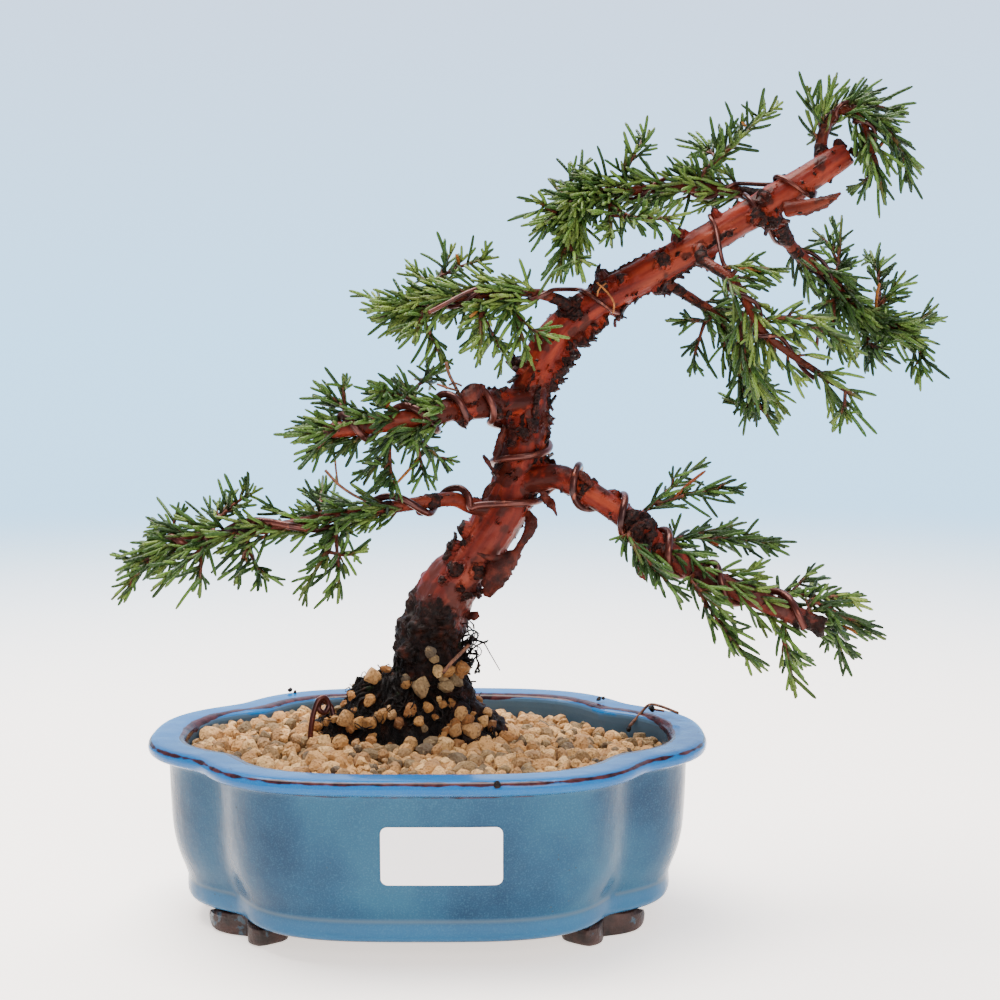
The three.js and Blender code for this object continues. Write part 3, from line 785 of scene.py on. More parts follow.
def dropped_stones(count, tries):
    cells, stones = {}, []
    for _ in range(count):
        size = float(np.clip(chance.lognormal(0.6, 0.32), 1.1, 3.8))
        best = None
        for _ in range(tries):
            x = chance.uniform(-POT_LENGTH / 2, POT_LENGTH / 2)
            y = chance.uniform(-POT_WIDTH / 2, POT_WIDTH / 2)
            in_wall = math.hypot(x, y) > outline(math.atan2(y, x), WALL_INSET + size * 0.85)
            if in_wall or mat_share(x, y) < 1:
                continue
            level = float(ground(x, y))
            height = rest_height(x, y, size, cells, level - STONE_DEPTH)
            if best is None or height - level < best[0]:
                best = (height - level, x, y, height)
        if best is None or best[0] + size * 0.5 > 2.2:
            continue
        _, x, y, height = best
        cells.setdefault((int(x // 8), int(y // 8)), []).append((x, y, height, size))
        stones.append((x, y, height, size))
    return np.array(stones)


stones = dropped_stones(2300, 7)
print(len(stones), "stones lie in the pot")

# %% Turn and stamp the stones
def random_turns(count):
    """Any turn at all, as a matrix for each stone."""
    q = unit(chance.normal(size=(count, 4)))
    w, x, y, z = q.T
    rows = [1 - 2 * (y * y + z * z), 2 * (x * y - w * z), 2 * (x * z + w * y),
            2 * (x * y + w * z), 1 - 2 * (x * x + z * z), 2 * (y * z - w * x),
            2 * (x * z - w * y), 2 * (y * z + w * x), 1 - 2 * (x * x + y * y)]
    return np.stack(rows, 1).reshape(-1, 3, 3)


def stone_pile(name, rows, warmth):
    kinds = chance.integers(len(STONE_SHAPES), size=len(rows))
    shapes = STONE_SHAPES[kinds] * rows[:, 3, None, None]
    turned = np.einsum("nij,nvj->nvi", random_turns(len(rows)), shapes)
    pile = stamped(name, turned + rows[:, None, :3], STONE_FACES)
    shade(pile, False)
    each = STONE_SHAPES.shape[1]
    mark(pile, "tint", np.repeat(chance.random(len(rows)), each))
    mark(pile, "warm", np.repeat(warmth, each))
    return pile


def gravel():
    finish = Finish("tan_gravel")
    place = finish.place()
    tint, warm = finish.kept("tint"), finish.kept("warm")
    tone = finish.ramp(tint, (0, "564a3c"), (0.14, "7c6647"), (0.34, "9a7249"), (0.58, "b98953"),
                       (0.82, "d2a972"), (1, "966838"))
    tone = finish.mix(warm, tone, finish.ramp(tint, (0.2, "85552b"), (0.6, "a4743f"), (1, "684123")))
    spots = finish.step(finish.grain(place, 0.8, 3), 0.48, 0.68)
    tone = finish.mix(spots * 0.6, tone, colour("4c3522"))
    pale = finish.step(finish.grain(place, 1.9, 3), 0.54, 0.75)
    tone = finish.mix(pale * 0.4, tone, colour("c2a273"))
    pits = finish.grain(place, 0.8, 4) + finish.grain(place, 2.2, 2)
    return finish.paint(Base_Color=tone, Roughness=0.86, Specular_IOR_Level=0.3,
                        Normal=finish.relief(pits, 0.7))


gravel_finish = gravel()
near_mat = np.array([mat_share(x, y) for x, y in stones[:, :2]])
warmth = (chance.random(len(stones)) < 0.5 * near_value(near_mat, 1, 0.12)).astype(float) * 0.9
ready(stone_pile("gravel", stones, warmth), "gravel", "gravel", gravel_finish)

# %% [markdown]
# ## The wood
# The trunk and branches grew as one piece. Each limb is a smooth line through a few rows of
# place and radius. A curve with a bevel turns each into a rod, and a voxel remesh welds the rods
# into one skin, with soft joints where a branch leaves the trunk, as on the tree.

# %% The limbs, roots and broken ends
LIMBS = {
    "trunk": [
        [1, 14, 35, 6], [1, 14, 47, 13], [1, 14, 59, 16], [0.5, 14, 68, 15.5],
        [-0.5, 13, 80, 12], [0, 12, 92, 10.5], [7, 10, 110, 9.7], [18.5, 9, 125.5, 8.8],
        [28, 7, 142, 8.1], [32.4, 6, 160, 7.5], [33.4, 6, 171, 6.8], [35.4, 7, 181, 6.2],
        [40, 8, 192, 6.7], [48.4, 8, 202, 6.8], [60, 7, 210.5, 6.3], [75, 5, 219, 5.8],
        [92, 3, 228.5, 5.4], [108, 1, 238, 5.5], [123, -1, 247, 5.2], [139.5, -3, 258, 4.1],
    ],
    "low_left": [
        [26, 6, 138, 3.4], [16, 2, 139.5, 2.9], [8, -2, 142.5, 2.5], [-5, -8, 141.5, 2.3],
        [-24.5, -14, 139, 2], [-54.5, -18, 134, 1.7], [-77, -20, 131.5, 1.5], [-84, -21, 128.5, 1.3],
    ],
    "mid_left": [
        [33, 4, 175, 4.8], [24.5, -2, 175, 4.7], [16.5, -7, 174.5, 4.7], [8.5, -12, 173.5, 4],
        [0, -17, 171, 3.3], [-19.5, -23, 168.5, 2.9], [-30.5, -25, 167, 2.6],
    ],
    "high_left": [
        [51, 6, 203.5, 2], [44.5, 2, 209.5, 1.9], [32, -2, 212, 1.6], [18, -1, 211, 1.4],
        [1, 2, 208.5, 1.2], [-7.5, 2, 206.5, 1.1],
    ],
    "top_left": [
        [118, 4, 243, 2.4], [104, 12, 246.5, 2], [84, 13, 248, 1.9], [65, 10, 246, 1.6],
        [57.5, 8, 245.5, 1.4], [51.5, 5, 241.5, 1.3], [48.5, 3, 233.5, 1.1],
    ],
    "apex": [
        [131, 0, 254, 2.3], [132, 0, 265, 1.9], [136, -5, 271, 1.6], [142.5, -9, 268, 1.3],
        [146, -12, 256, 1.1],
    ],
    "right_high": [
        [115.5, 6, 240.5, 3.4], [125.5, 17, 228, 2.2], [140.5, 24, 217, 1.9], [147, 26, 209, 1.8],
        [156, 27, 203, 1.6], [166, 27, 200.5, 1.3],
    ],
    "front_hang": [
        [91, -3, 227, 2.3], [92, -8, 222, 2], [100.5, -15, 215.5, 1.8], [107.5, -20, 202.5, 1.5],
        [113, -21, 195.5, 1.4], [133, -22, 182, 1.1],
    ],
    "back_hang": [
        [77.5, 10, 218, 2], [94, 20, 209, 1.7], [102, 22, 203, 1.6], [109.5, 23, 186.5, 1.3],
        [113, 22, 178, 1.1],
    ],
    "low_right": [
        [33, 4, 148.5, 4.8], [43, -2, 150.5, 4.4], [49.5, -6, 148.5, 4.4], [62.5, -13, 140.5, 4],
        [74.5, -18, 131, 3.6], [88.5, -22, 121, 3.4], [105, -26, 114, 3.2], [129, -30, 103.5, 3.1],
    ],
    "torn_stub": [[119, -4, 239, 2.7], [127, -8, 240.5, 2], [135, -11, 242.5, 0.7]],
}
ROOTS = [
    [[-4, 13, 71, 6], [-20, 9, 67, 4.2], [-33, 5, 61, 3.2], [-42, 2, 51, 2]],
    [[6, 13, 71, 6], [17, 10, 65, 4], [25, 8, 59, 3], [30, 7, 50, 2]],
    [[-2, 8, 71, 6], [-8, -3, 64, 3.6], [-12, -11, 51, 2.2]],
    [[4, 9, 71, 6], [11, -2, 63, 3.4], [15, -9, 51, 2.2]],
    [[3, 18, 69, 6], [8, 29, 62, 3.4], [11, 36, 51, 2.2]],
    [[-4, 18, 69, 6], [-16, 27, 62, 3.4], [-22, 32, 51, 2.2]],
]
lines = {name: Line(rows) for name, rows in LIMBS.items()}
root_lines = [Line(rows) for rows in ROOTS]
trunk = lines["trunk"]
print("the trunk is", round(trunk.length()), "mm long")

# %% Knots: place along the trunk, degrees round it, radius and height
KNOTS = [
    [0.338, 285, 3.2, 2], [0.348, 247, 3, 2], [0.325, 292, 1.8, 1.4], [0.328, 256, 1.6, 1.2],
    [0.322, 240, 1.8, 1.4], [0.333, 217, 2.4, 1.8], [0.44, 150, 3, 3.5], [0.456, 180, 3.4, 2.6],
    [0.496, 276, 2.6, 2.2], [0.51, 20, 2.8, 3.5], [0.519, 190, 2.6, 1.6], [0.6, 330, 2.4, 3],
    [0.609, 182, 2.8, 1.8], [0.647, 190, 3, 2.2], [0.667, 217, 2.6, 1.6], [0.68, 200, 3, 3],
    [0.707, 182, 2.6, 2.4], [0.737, 300, 2.8, 2], [0.745, 15, 2.8, 3], [0.764, 296, 2, 1.6],
    [0.79, 165, 2.6, 2.5], [0.805, 284, 3.2, 2.2], [0.825, 324, 1.6, 1.2], [0.83, 25, 2.8, 3],
    [0.842, 182, 2.6, 1.8], [0.868, 350, 1.6, 3], [0.9, 250, 3.4, 2], [0.91, 200, 3.6, 2.4],
    [0.915, 300, 2.6, 1.4], [0.955, 215, 1.6, 1.4], [0.28, 262, 2.6, 1.6], [0.25, 300, 3, 1.8],
    [0.372, 335, 2.6, 3], [0.352, 340, 3, 2.8], [0.342, 318, 2.2, 2.2], [0.363, 310, 1.8, 1.8],
    [0.6, 176, 2.2, 2.4], [0.622, 188, 2.6, 2.8], [0.637, 178, 2, 2.4], [0.657, 180, 2.4, 3],
    [0.69, 186, 2.2, 2.6], [0.722, 188, 2, 2.2], [0.74, 182, 2, 2], [0.585, 186, 1.8, 2],
]
# The same for a lump of scaly bark on a limb, after the name of the limb
LIMB_KNOTS = [
    ("low_right", 0.49, 300, 2.6, 1.8), ("low_right", 0.53, 250, 2.8, 2), ("low_right", 0.545, 320, 2.4, 2.2),
    ("low_right", 0.51, 20, 2.4, 2), ("low_right", 0.57, 280, 2.2, 1.6), ("low_right", 0.55, 60, 2.2, 1.8),
    ("low_right", 0.4, 40, 2.2, 1.6), ("low_right", 0.45, 60, 2, 1.4), ("mid_left", 0.24, 300, 2.4, 1.4),
    ("mid_left", 0.4, 240, 2.2, 1.4), ("mid_left", 0.46, 320, 2.4, 1.6),
]
# Where the trunk is hollowed: place, degrees, radius and depth
HOLLOWS = [(0.352, 5, 6, 3.4)]

# %% Weld the rods into one skin
VOXEL = 0.6


def limb_rod(name, line):
    count = max(6, round(line.length() / 2))
    t = np.linspace(0, 1, count)
    return bent_rod(name, line.at(t), line.radius(t), 5)


rods = [limb_rod(name, line) for name, line in lines.items()]
rods += [limb_rod("root", line) for line in root_lines]
wood = joined(rods)
modify(wood, "REMESH", mode="VOXEL", voxel_size=VOXEL * MM)
modify(wood, "SMOOTH", factor=0.5, iterations=4)
print("the skin has", len(wood.data.polygons), "faces")

# %% [markdown]
# ## Bark
# Kishu juniper sheds its grey bark and is brushed down to a smooth red-brown skin. Dark ragged
# patches of old bark stay on the underside, round the knots and at the joints, and the foot is
# black and wet. To shape that, each vertex first learns where it is on the tree: on which limb,
# how far along it, and at which angle round it. The patches are then raised and roughened.

# %% Where each vertex lies on the tree
def on_limbs(points):
    """The nearest limb's place, angle, length along and radius, for every point."""
    best = np.full(len(points), np.inf)
    place, angle, reach, thick = (np.zeros(len(points)) for _ in range(4))
    is_trunk = np.zeros(len(points), bool)
    for number, line in enumerate([*lines.values(), *root_lines]):
        t = np.linspace(0, 1, max(8, round(line.length() / 1.5)))
        centres, radii = line.at(t), line.radius(t)
        _, side, away = line.frame(t)
        apart = np.linalg.norm(points[:, None] - centres[None], axis=2) - radii[None]
        nearest = apart.argmin(axis=1)
        depth = apart[np.arange(len(points)), nearest]
        closer = depth < best
        best[closer] = depth[closer]
        nearest = nearest[closer]
        out = points[closer] - centres[nearest]
        angle[closer] = np.arctan2((out * away[nearest]).sum(1), (out * side[nearest]).sum(1))
        place[closer] = t[nearest]
        reach[closer] = t[nearest] * line.length() + 60 * number
        thick[closer] = radii[nearest]
        is_trunk[closer] = number == 0
    return place, angle, reach, thick, is_trunk


skin = places_of(wood)
place, angle, reach, thick, is_trunk = on_limbs(skin)
grain = np.stack([thick * np.cos(angle), thick * np.sin(angle), reach * 0.16], 1)
print("the trunk takes", round(100 * is_trunk.mean()), "percent of the skin")


# %% Patches of old bark, knots and the wet foot
# Rough places on the limbs: limb, place along it and radius
ROUGH_PLACES = [
    ("low_right", 0.34, 4.5), ("low_right", 0.44, 3.6), ("low_right", 0.53, 5.4), ("low_right", 0.6, 4),
    ("low_right", 0.72, 3.5), ("mid_left", 0.2, 5), ("mid_left", 0.42, 4), ("low_left", 0.36, 3.4),
    ("low_left", 0.5, 3),
    ("high_left", 0.1, 5), ("high_left", 0.22, 3), ("top_left", 0.1, 4), ("right_high", 0.12, 5.5),
    ("right_high", 0.22, 3), ("front_hang", 0.14, 3), ("back_hang", 0.12, 3), ("apex", 0.1, 3),
]


def noise_at(points, size, depth=3):
    return np.array([noise.fractal(Vector(point / size), 1, 2, depth) for point in points])


def smooth_step(values, low, high):
    share = np.clip((values - low) / (high - low), 0, 1)
    return share * share * (3 - 2 * share)


def knot_marks():
    """How strongly each vertex belongs to a knot, and how far the knot lifts it."""
    share, lift = np.zeros(len(skin)), np.zeros(len(skin))
    uneven = 1 + 0.55 * noise_at(skin, 2.4, 2)
    everywhere = [("trunk", *knot) for knot in KNOTS] + LIMB_KNOTS
    for name, t, degrees, radius, height in everywhere:
        centre = lines[name].beside(t, math.radians(degrees))
        apart = np.linalg.norm(skin - centre, axis=1) / radius * uneven
        share = np.maximum(share, 1 - smooth_step(apart, 0.55, 1.15))
        lift = np.maximum(lift, height * np.sqrt(np.clip(1 - (apart * 0.95) ** 2, 0, 1)))
    for t, degrees, radius, depth in HOLLOWS:
        centre = trunk.beside(t, math.radians(degrees))
        lift -= depth * np.exp(-(np.linalg.norm(skin - centre, axis=1) / radius) ** 2)
    return share, lift


def rough_marks():
    share = np.zeros(len(skin))
    for name, t, radius in ROUGH_PLACES:
        apart = np.linalg.norm(skin - lines[name].at(t)[0], axis=1) / radius
        share = np.maximum(share, 1 - smooth_step(apart, 0.6, 1.3))
    return share


knot_share, knot_lift = knot_marks()
turned_under = -np.cos(angle)
lower_edge = smooth_step(turned_under, 0.74, 0.97) * is_trunk * (place > 0.42) * (place < 0.86)
crowded = near_value(place, 0.53, 0.08) * is_trunk
patchy = noise_at(grain, 4) * 0.9 + 0.72 * lower_edge + 0.3 * crowded + 0.3 * (thick < 2.6) - 0.55
patchy = np.maximum(patchy, rough_marks() * 0.5 + noise_at(skin, 2.5) * 0.4 - 0.2)
# The wet foot fades out between two heights, which are lower on the trunk's right side
WET_LEVELS = (93, 113)
foot_level = skin[:, 2] + 0.5 * (skin[:, 0] - 7) * is_trunk + 8 * noise_at(skin, 9)
wet_foot = 1 - smooth_step(foot_level, *WET_LEVELS)
crusted = knot_share * smooth_step(1.2 * noise_at(skin, 1.5) + knot_share, 0.2, 0.55)
old = np.maximum(smooth_step(patchy, 0.0, 0.14), crusted)
old = np.clip(np.maximum(old, wet_foot), 0, 1)

# %% Raise the bark
ways = for_each_vertex(wood, "normal")
slow = noise_at(grain, 10, 2) * 0.15 * thick + noise_at(skin, 5, 2) * 0.05 * thick
rough = np.abs(noise_at(skin, 2.3, 3)) * (0.7 + 0.1 * thick) + np.abs(noise_at(grain, 3.2, 2)) * 0.5
fine = noise_at(grain, 2.2, 3) * 0.12
foot_rough = wet_foot * (noise_at(skin, 8, 3) * 2.6 + np.abs(noise_at(skin, 3, 2)) * 1.1)
thin = np.clip((thick - 1) / 3, 0.16, 1)
rough *= 1 - 0.7 * wet_foot
lift = slow + fine * thin + old * thin * (0.25 + rough) + knot_lift + foot_rough
move_to(wood, skin + ways * lift[:, None])
mark(wood, "old", old)
mark(wood, "wet", wet_foot)
mark(wood, "grain", grain)
SLIM_LIMB = 3.6
mark(wood, "slim", np.clip((SLIM_LIMB - thick) / 2, 0, 1))
# Dull bark above the foot; painted shade at two joints: centre, reach and strength of each
SHADED_JOINTS = [((28, 4, 158), 30, 1), ((14, -8, 174), 18, 1.6)]
ANKLE_HEIGHT = 108
dull = near_value(skin[:, 2], ANKLE_HEIGHT, 12) * is_trunk
for centre, reach_of_shade, strength in SHADED_JOINTS:
    apart = np.linalg.norm(skin - centre, axis=1)
    dull = np.maximum(dull, strength * near_value(apart, 0, reach_of_shade))
mark(wood, "dull", np.clip(noise_at(skin, 7, 3) * 1.3 + 0.68 * dull, 0, 1))
print("old bark covers", round(100 * old.mean()), "percent")

# %% The finish of bark, living and old
def bark():
    finish = Finish("juniper_bark")
    place = finish.place()
    grain = finish.kept("grain", 1)
    streak = finish.node("TexNoise", {}, {"Vector": grain, "Scale": 0.4, "Detail": 4.0})
    blotch = finish.node("TexNoise", {}, {"Vector": grain, "Scale": 0.13, "Detail": 4.0})
    live = finish.ramp(streak, (0.3, "400c08"), (0.5, "5e180d"), (0.7, "762816"))
    live = finish.mix(finish.step(blotch, 0.54, 0.72) * 0.7, live, colour("8a3e28"))
    live = finish.mix(finish.step(blotch, 0.46, 0.32) * 0.8, live, colour("2e0b08"))
    live = finish.mix(finish.kept("slim") * 0.55, live, colour("43200f"))
    # Dull brown bark at random and above the foot, with painted shade at the two joints where limbs meet the
    # trunk
    dull = finish.kept("dull") + (finish.grain(place, 2.4, 4) - 0.5) * 0.8
    live = finish.mix(finish.step(dull, 0.35, 0.7) * 0.8, live, colour("280d08"))
    height = finish.part(place, 2)
    live = finish.mix(finish.step(height, 0.15, 0.115) * 0.25, live, colour("6e3e3a"))
    flakes = finish.grain(place, 1.3, 4)
    dead = finish.ramp(flakes, (0.32, "0c0606"), (0.52, "1f0d0a"), (0.74, "441a10"))
    edge = finish.kept("old") + (finish.grain(place, 1.7, 3) - 0.5) * 0.7
    is_old = finish.step(edge, 0.42, 0.6)
    tone = finish.mix(is_old, live, dead)
    foot = finish.ramp(finish.grain(place, 4, 3), (0.36, "080403"), (0.56, "1a0c08"), (0.74, "3a180e"))
    tone = finish.mix(finish.kept("wet"), tone, foot)
    rough = finish.grain(place, 5, 2) * 0.2 + is_old * 0.2 - finish.kept("wet") * 0.06 + 0.34
    relief = flakes * finish.kept("old") + streak * 0.3 + finish.grain(place, 3, 3) * 0.35
    return finish.paint(Base_Color=tone, Roughness=rough, Specular_IOR_Level=0.12,
                        Normal=finish.relief(relief, 0.5))

bark_finish = bark()
ready(wood, "wood", "bark", bark_finish, "trunk_and_branches")

# %% [markdown]
# ## Looking through the photograph
# Some small things are placed by where the photograph shows them. The camera is known, so a
# pixel becomes a line of sight, and the thing is set down where that line meets the wood or the
# ground. It then rests on something real and holds from every side.

# %% The camera and a line of sight
EYE = np.array([24.5, -541, 195])
PITCH = 0.0975
FOCAL = 1600
FRAME = 1000


def sight(across, down):
    right = np.array([1, 0, 0])
    ahead = np.array([0, math.cos(PITCH), -math.sin(PITCH)])
    above = np.array([0, math.sin(PITCH), math.cos(PITCH)])
    way = ahead + (across - FRAME / 2) / FOCAL * right + (FRAME / 2 - down) / FOCAL * above
    return Vector(unit(way))


def seen_at(surface, across, down):
    return surface.ray_cast(Vector(EYE), sight(across, down))[0]


# %% [markdown]
# ## The mat of roots
# Round the foot of the trunk the ground is a black mat of fine roots and old soil. It could be a
# texture on the gravel, but its loops and threads stand out against the pale background. So the
# mat is a rough sheet over the mound, and a few hundred thin roots are laid over it by rule.

# %% The rough sheet
DOME = 9


def mat_sheet():
    half = [MAT["reach_x"] * 1.35, MAT["reach_y"] * 1.35]
    bpy.ops.mesh.primitive_grid_add(x_subdivisions=150, y_subdivisions=100, size=2)
    sheet = bpy.context.object
    flat = np.array([vertex.co[:2] for vertex in sheet.data.vertices]) * half + (MAT["x"], MAT["y"])
    share = np.array([mat_share(x, y) for x, y in flat])
    to_left = np.clip(-(flat[:, 0] - MAT["x"]) / MAT["reach_x"], 0, 1)
    raised = 1 - smooth_step(share, 0.3 + 0.25 * to_left, 1.04)
    level = ground(flat[:, 0], flat[:, 1]) + (DOME + 5 * to_left) * raised
    spots = np.column_stack([flat, np.zeros(len(flat))])
    rough = noise_at(spots, 8, 4) * 3 + np.abs(noise_at(spots, 2.6, 3)) * 2.2
    height = level + 0.3 - 5 * smooth_step(share, 0.86, 1.2) + rough
    move_to(sheet, np.column_stack([flat, height]))
    bpy.ops.object.mode_set(mode="EDIT")
    bpy.ops.mesh.select_mode(type="VERT")
    bpy.ops.mesh.select_all(action="DESELECT")
    mesh = bmesh.from_edit_mesh(sheet.data)
    mesh.verts.ensure_lookup_table()
    for index in np.flatnonzero(share > 1.22):
        mesh.verts[index].select = True
    bpy.ops.mesh.delete(type="VERT")
    bpy.ops.object.mode_set(mode="OBJECT")
    return modify(shade(sheet), "SOLIDIFY", thickness=2 * MM, offset=-1)


def black_root():
    finish = Finish("black_root")
    place = finish.place()
    tone = finish.ramp(finish.grain(place, 2.6, 4), (0.36, "050303"), (0.58, "110906"), (0.76, "2e1508"))
    green = finish.step(finish.grain(place, 5, 3), 0.64, 0.74) * 0.35
    tone = finish.mix(green, tone, colour("24331c"))
    relief = finish.grain(place, 0.9, 4) + finish.grain(place, 0.35, 2) * 0.4
    return finish.paint(Base_Color=tone, Roughness=0.45, Specular_IOR_Level=0.12,
                        Normal=finish.relief(relief, 0.7))


root_finish = black_root()
mat = ready(mat_sheet(), "root_mat", "bark", root_finish)
mat_top, foot_surface = surface_of(mat), surface_of(wood, mat)

# %% Threads of root
def chance_between(low, high):
    return float(chance.uniform(low, high))


def mat_height(x, y):
    hit = mat_top.ray_cast(Vector((x, y, 120)), Vector((0, 0, -1)))[0]
    return hit.z if hit else float(ground(x, y))


def spreading_root(number):
    """A thin root that leaves the foot of the trunk and wanders out over the mat."""
    turn = number * 2.4
    start, end = chance_between(0.25, 0.55), chance_between(0.75, 1.1)
    drift, swing, beat = chance_between(-0.6, 0.6), chance_between(0, 0.2), chance_between(4, 12)
    thick = chance_between(0.14, 0.3) if number % 9 else chance_between(0.5, 1.1)
    rows = []
    for step in range(11):
        share = step / 10
        angle = turn + drift * share + swing * math.sin(beat * share)
        reach = start + (end - start) * share
        x = MAT["x"] + MAT["reach_x"] * reach * math.cos(angle)
        y = MAT["y"] + MAT["reach_y"] * reach * math.sin(angle)
        hop = chance_between(-0.3, 1.5) * (1 - 0.6 * share)
        rows.append([x, y, mat_height(x, y) + hop, thick * (1 - 0.7 * share)])
    return Line(rows)


def tangled_root(centre, reach, thick):
    """A thread that wanders about inside a small cloud and comes back when it strays."""
    point = centre + reach * chance.normal(size=3) * 0.5
    way = unit(chance.normal(size=3))
    rows = []
    for _ in range(11):
        rows.append([*point, thick])
        way = unit(way + chance.normal(size=3) * 0.75 + (centre - point) / reach * 0.45)
        point = point + way * 1.9
    return Line(rows)


def climbing_root(number):
    """A root that clings to the foot of the trunk and runs down it."""
    turn = math.radians(chance_between(0, 360))
    rows = []
    for step in range(7):
        height = 90 - 24 * step / 6 * chance_between(0.9, 1.05)
        t = 3 / 19 + (height - 68) / 24 * 2 / 19
        angle = turn + 0.25 * math.sin(step * 1.3 + number)
        point = trunk.beside(t, angle, chance_between(-0.4, 0.9))
        rows.append([*point, 0.3 + 0.25 * (number % 3 == 0)])
    return Line(rows)


NET = np.array([13.2, 10, 87]), np.array([2.6, 2.4, 7])
LOOSE_HAIR = [
    [10, 9, 90, 0.3], [13.4, 9, 91.5, 0.3], [18.2, 9, 91.7, 0.25], [21, 9, 87.5, 0.2],
    [24.5, 9, 81.4, 0.15],
]
threads = [spreading_root(number) for number in range(240)]
threads += [tangled_root(*NET, 0.2 + 0.1 * (number % 3)) for number in range(26)]
threads += [climbing_root(number) for number in range(30)]
for _ in range(110):
    x = MAT["x"] + MAT["reach_x"] * chance_between(-0.95, 0.95)
    y = MAT["y"] + MAT["reach_y"] * chance_between(-0.9, 0.9)
    if mat_share(x, y) < 0.98:
        knot_centre = np.array([x, y, mat_height(x, y) + 0.4])
        threads.append(tangled_root(knot_centre, np.array([4, 4, 1.5]), chance_between(0.12, 0.24)))
threads.append(Line(LOOSE_HAIR))
ready(tubes("root_threads", threads, 4, 1.5), "root_threads", "bark", root_finish)

# %% Stones caught in the roots
# Pixel across, pixel down, size, and 1 where the stone is orange
CAUGHT = [
    (361, 675, 3.5, 0), (374, 677, 2.7, 0), (386, 670, 1.6, 1), (337, 690, 2, 0), (332, 680, 1.5, 0),
    (341, 699, 1.9, 1), (353, 696, 1.7, 1), (370, 701, 1.8, 1), (346, 719, 2.7, 0), (358, 723, 1.9, 1),
    (369, 723, 1.9, 1), (350, 728, 1.5, 1), (319, 705, 2, 1), (406, 679, 1.6, 0), (407, 684, 1.6, 1),
    (421, 686, 2.8, 0), (431, 652, 1.9, 0), (434, 659, 1.6, 0), (438, 671, 1.7, 0), (448, 671, 2, 1),
    (461, 668, 2.5, 1), (457, 675, 1.7, 1), (456, 681, 2.1, 0), (444, 679, 1.5, 0), (446, 687, 2.2, 0),
    (410, 710, 2, 1), (382, 715, 2, 0), (392, 715, 1.6, 0), (428, 708, 1.7, 1), (443, 704, 1.3, 1),
    (451, 701, 1.1, 1), (461, 715, 2, 0), (467, 720, 2.2, 1), (455, 723, 1.7, 1), (456, 731, 2, 0),
    (472, 731, 3, 0), (483, 722, 1.9, 0), (327, 722, 1.6, 1), (316, 727, 1.7, 1), (399, 724, 1.8, 1),
    (418, 722, 1.6, 1), (488, 712, 1.5, 0), (492, 725, 1.7, 1), (479, 700, 1.2, 1),
]


def caught_stones():
    rows, warmth = [], []
    for across, down, size, warm in CAUGHT:
        hit = seen_at(foot_surface, across, down)
        if hit:
            point = np.array(hit) - np.array(sight(across, down)) * size * 0.5
            rows.append([*point, size])
            warmth.append(warm)
    for _ in range(190):
        x = MAT["x"] + MAT["reach_x"] * chance_between(-1.05, 1.05)
        y = MAT["y"] + MAT["reach_y"] * chance_between(-1.05, 1.05)
        behind = y > MAT["y"] + 4
        size = chance_between(0.9, 2.6 if behind else 1.4)
        if (0.4 if behind else 0.6) < mat_share(x, y) < 1.1:
            rows.append([x, y, mat_height(x, y) + size * 0.4, size])
            warmth.append(chance_between(0, 1) < 0.65)
    return stone_pile("caught_stones", np.array(rows), np.array(warmth, float))


ready(caught_stones(), "caught_stones", "gravel", gravel_finish)

# %% [markdown]
# ## Flakes of old bark
# Where the bark was brushed off, scraps of it still cling and lift, and they make the ragged
# edge that the trunk shows against the light. A scrap is a small curled plate, modelled once in
# a few torn outlines, and set on the old bark with one end lifted.

# %% Torn outlines
def flake_shapes(count):
    shapes = []
    for seed in range(count):
        bpy.ops.mesh.primitive_plane_add(size=1, location=(0, 0.5, 0))
        bpy.ops.object.mode_set(mode="EDIT")
        bpy.ops.mesh.subdivide(number_cuts=3)
        bpy.ops.transform.vertex_random(offset=0.11, seed=seed + 1)
        bpy.ops.object.mode_set(mode="OBJECT")
        flake = bpy.context.object
        bpy.ops.object.transform_apply(location=True)
        for vertex in flake.data.vertices:
            x, y, z = vertex.co
            vertex.co = (x * (1 - 0.35 * y * y), y, z * 0.6 + 0.3 * y * y - 0.5 * x * x)
        modify(flake, "SOLIDIFY", thickness=0.22, offset=0)
        points, faces = shape_of(flake)
        shapes.append(points)
    return np.array(shapes), faces


FLAKE_SHAPES, FLAKE_FACES = flake_shapes(8)
print("a flake has", len(FLAKE_FACES), "faces")

# %% Set the flakes on the old bark
# Large flaps: place along the trunk, degrees round it, length, width, lift in degrees
FLAPS = [
    (0.54, 180, 9, 3.5, 10), (0.565, 185, 5, 3, 25), (0.62, 184, 5, 3.5, 25), (0.66, 188, 6, 4, 25),
    (0.71, 190, 5, 4, 30), (0.755, 186, 6, 4, 20), (0.8, 192, 4, 3, 25), (0.49, 5, 8, 3.4, 14),
    (0.57, 2, 8, 3, 12), (0.535, 352, 5, 3, 20), (0.585, 340, 4, 3, 24), (0.5, 300, 6, 4, 12),
    (0.46, 330, 7, 4, 10), (0.52, 250, 5, 4, 15),
]


def flap_rows():
    rows = []
    for t, degrees, length, width, lift in FLAPS:
        way = trunk.outward(t, math.radians(degrees))[0]
        along = trunk.frame(t)[0][0]
        base = trunk.beside(t, math.radians(degrees), 0.1)
        rows.append((base, way, -along, length, width, math.radians(lift)))
    return rows


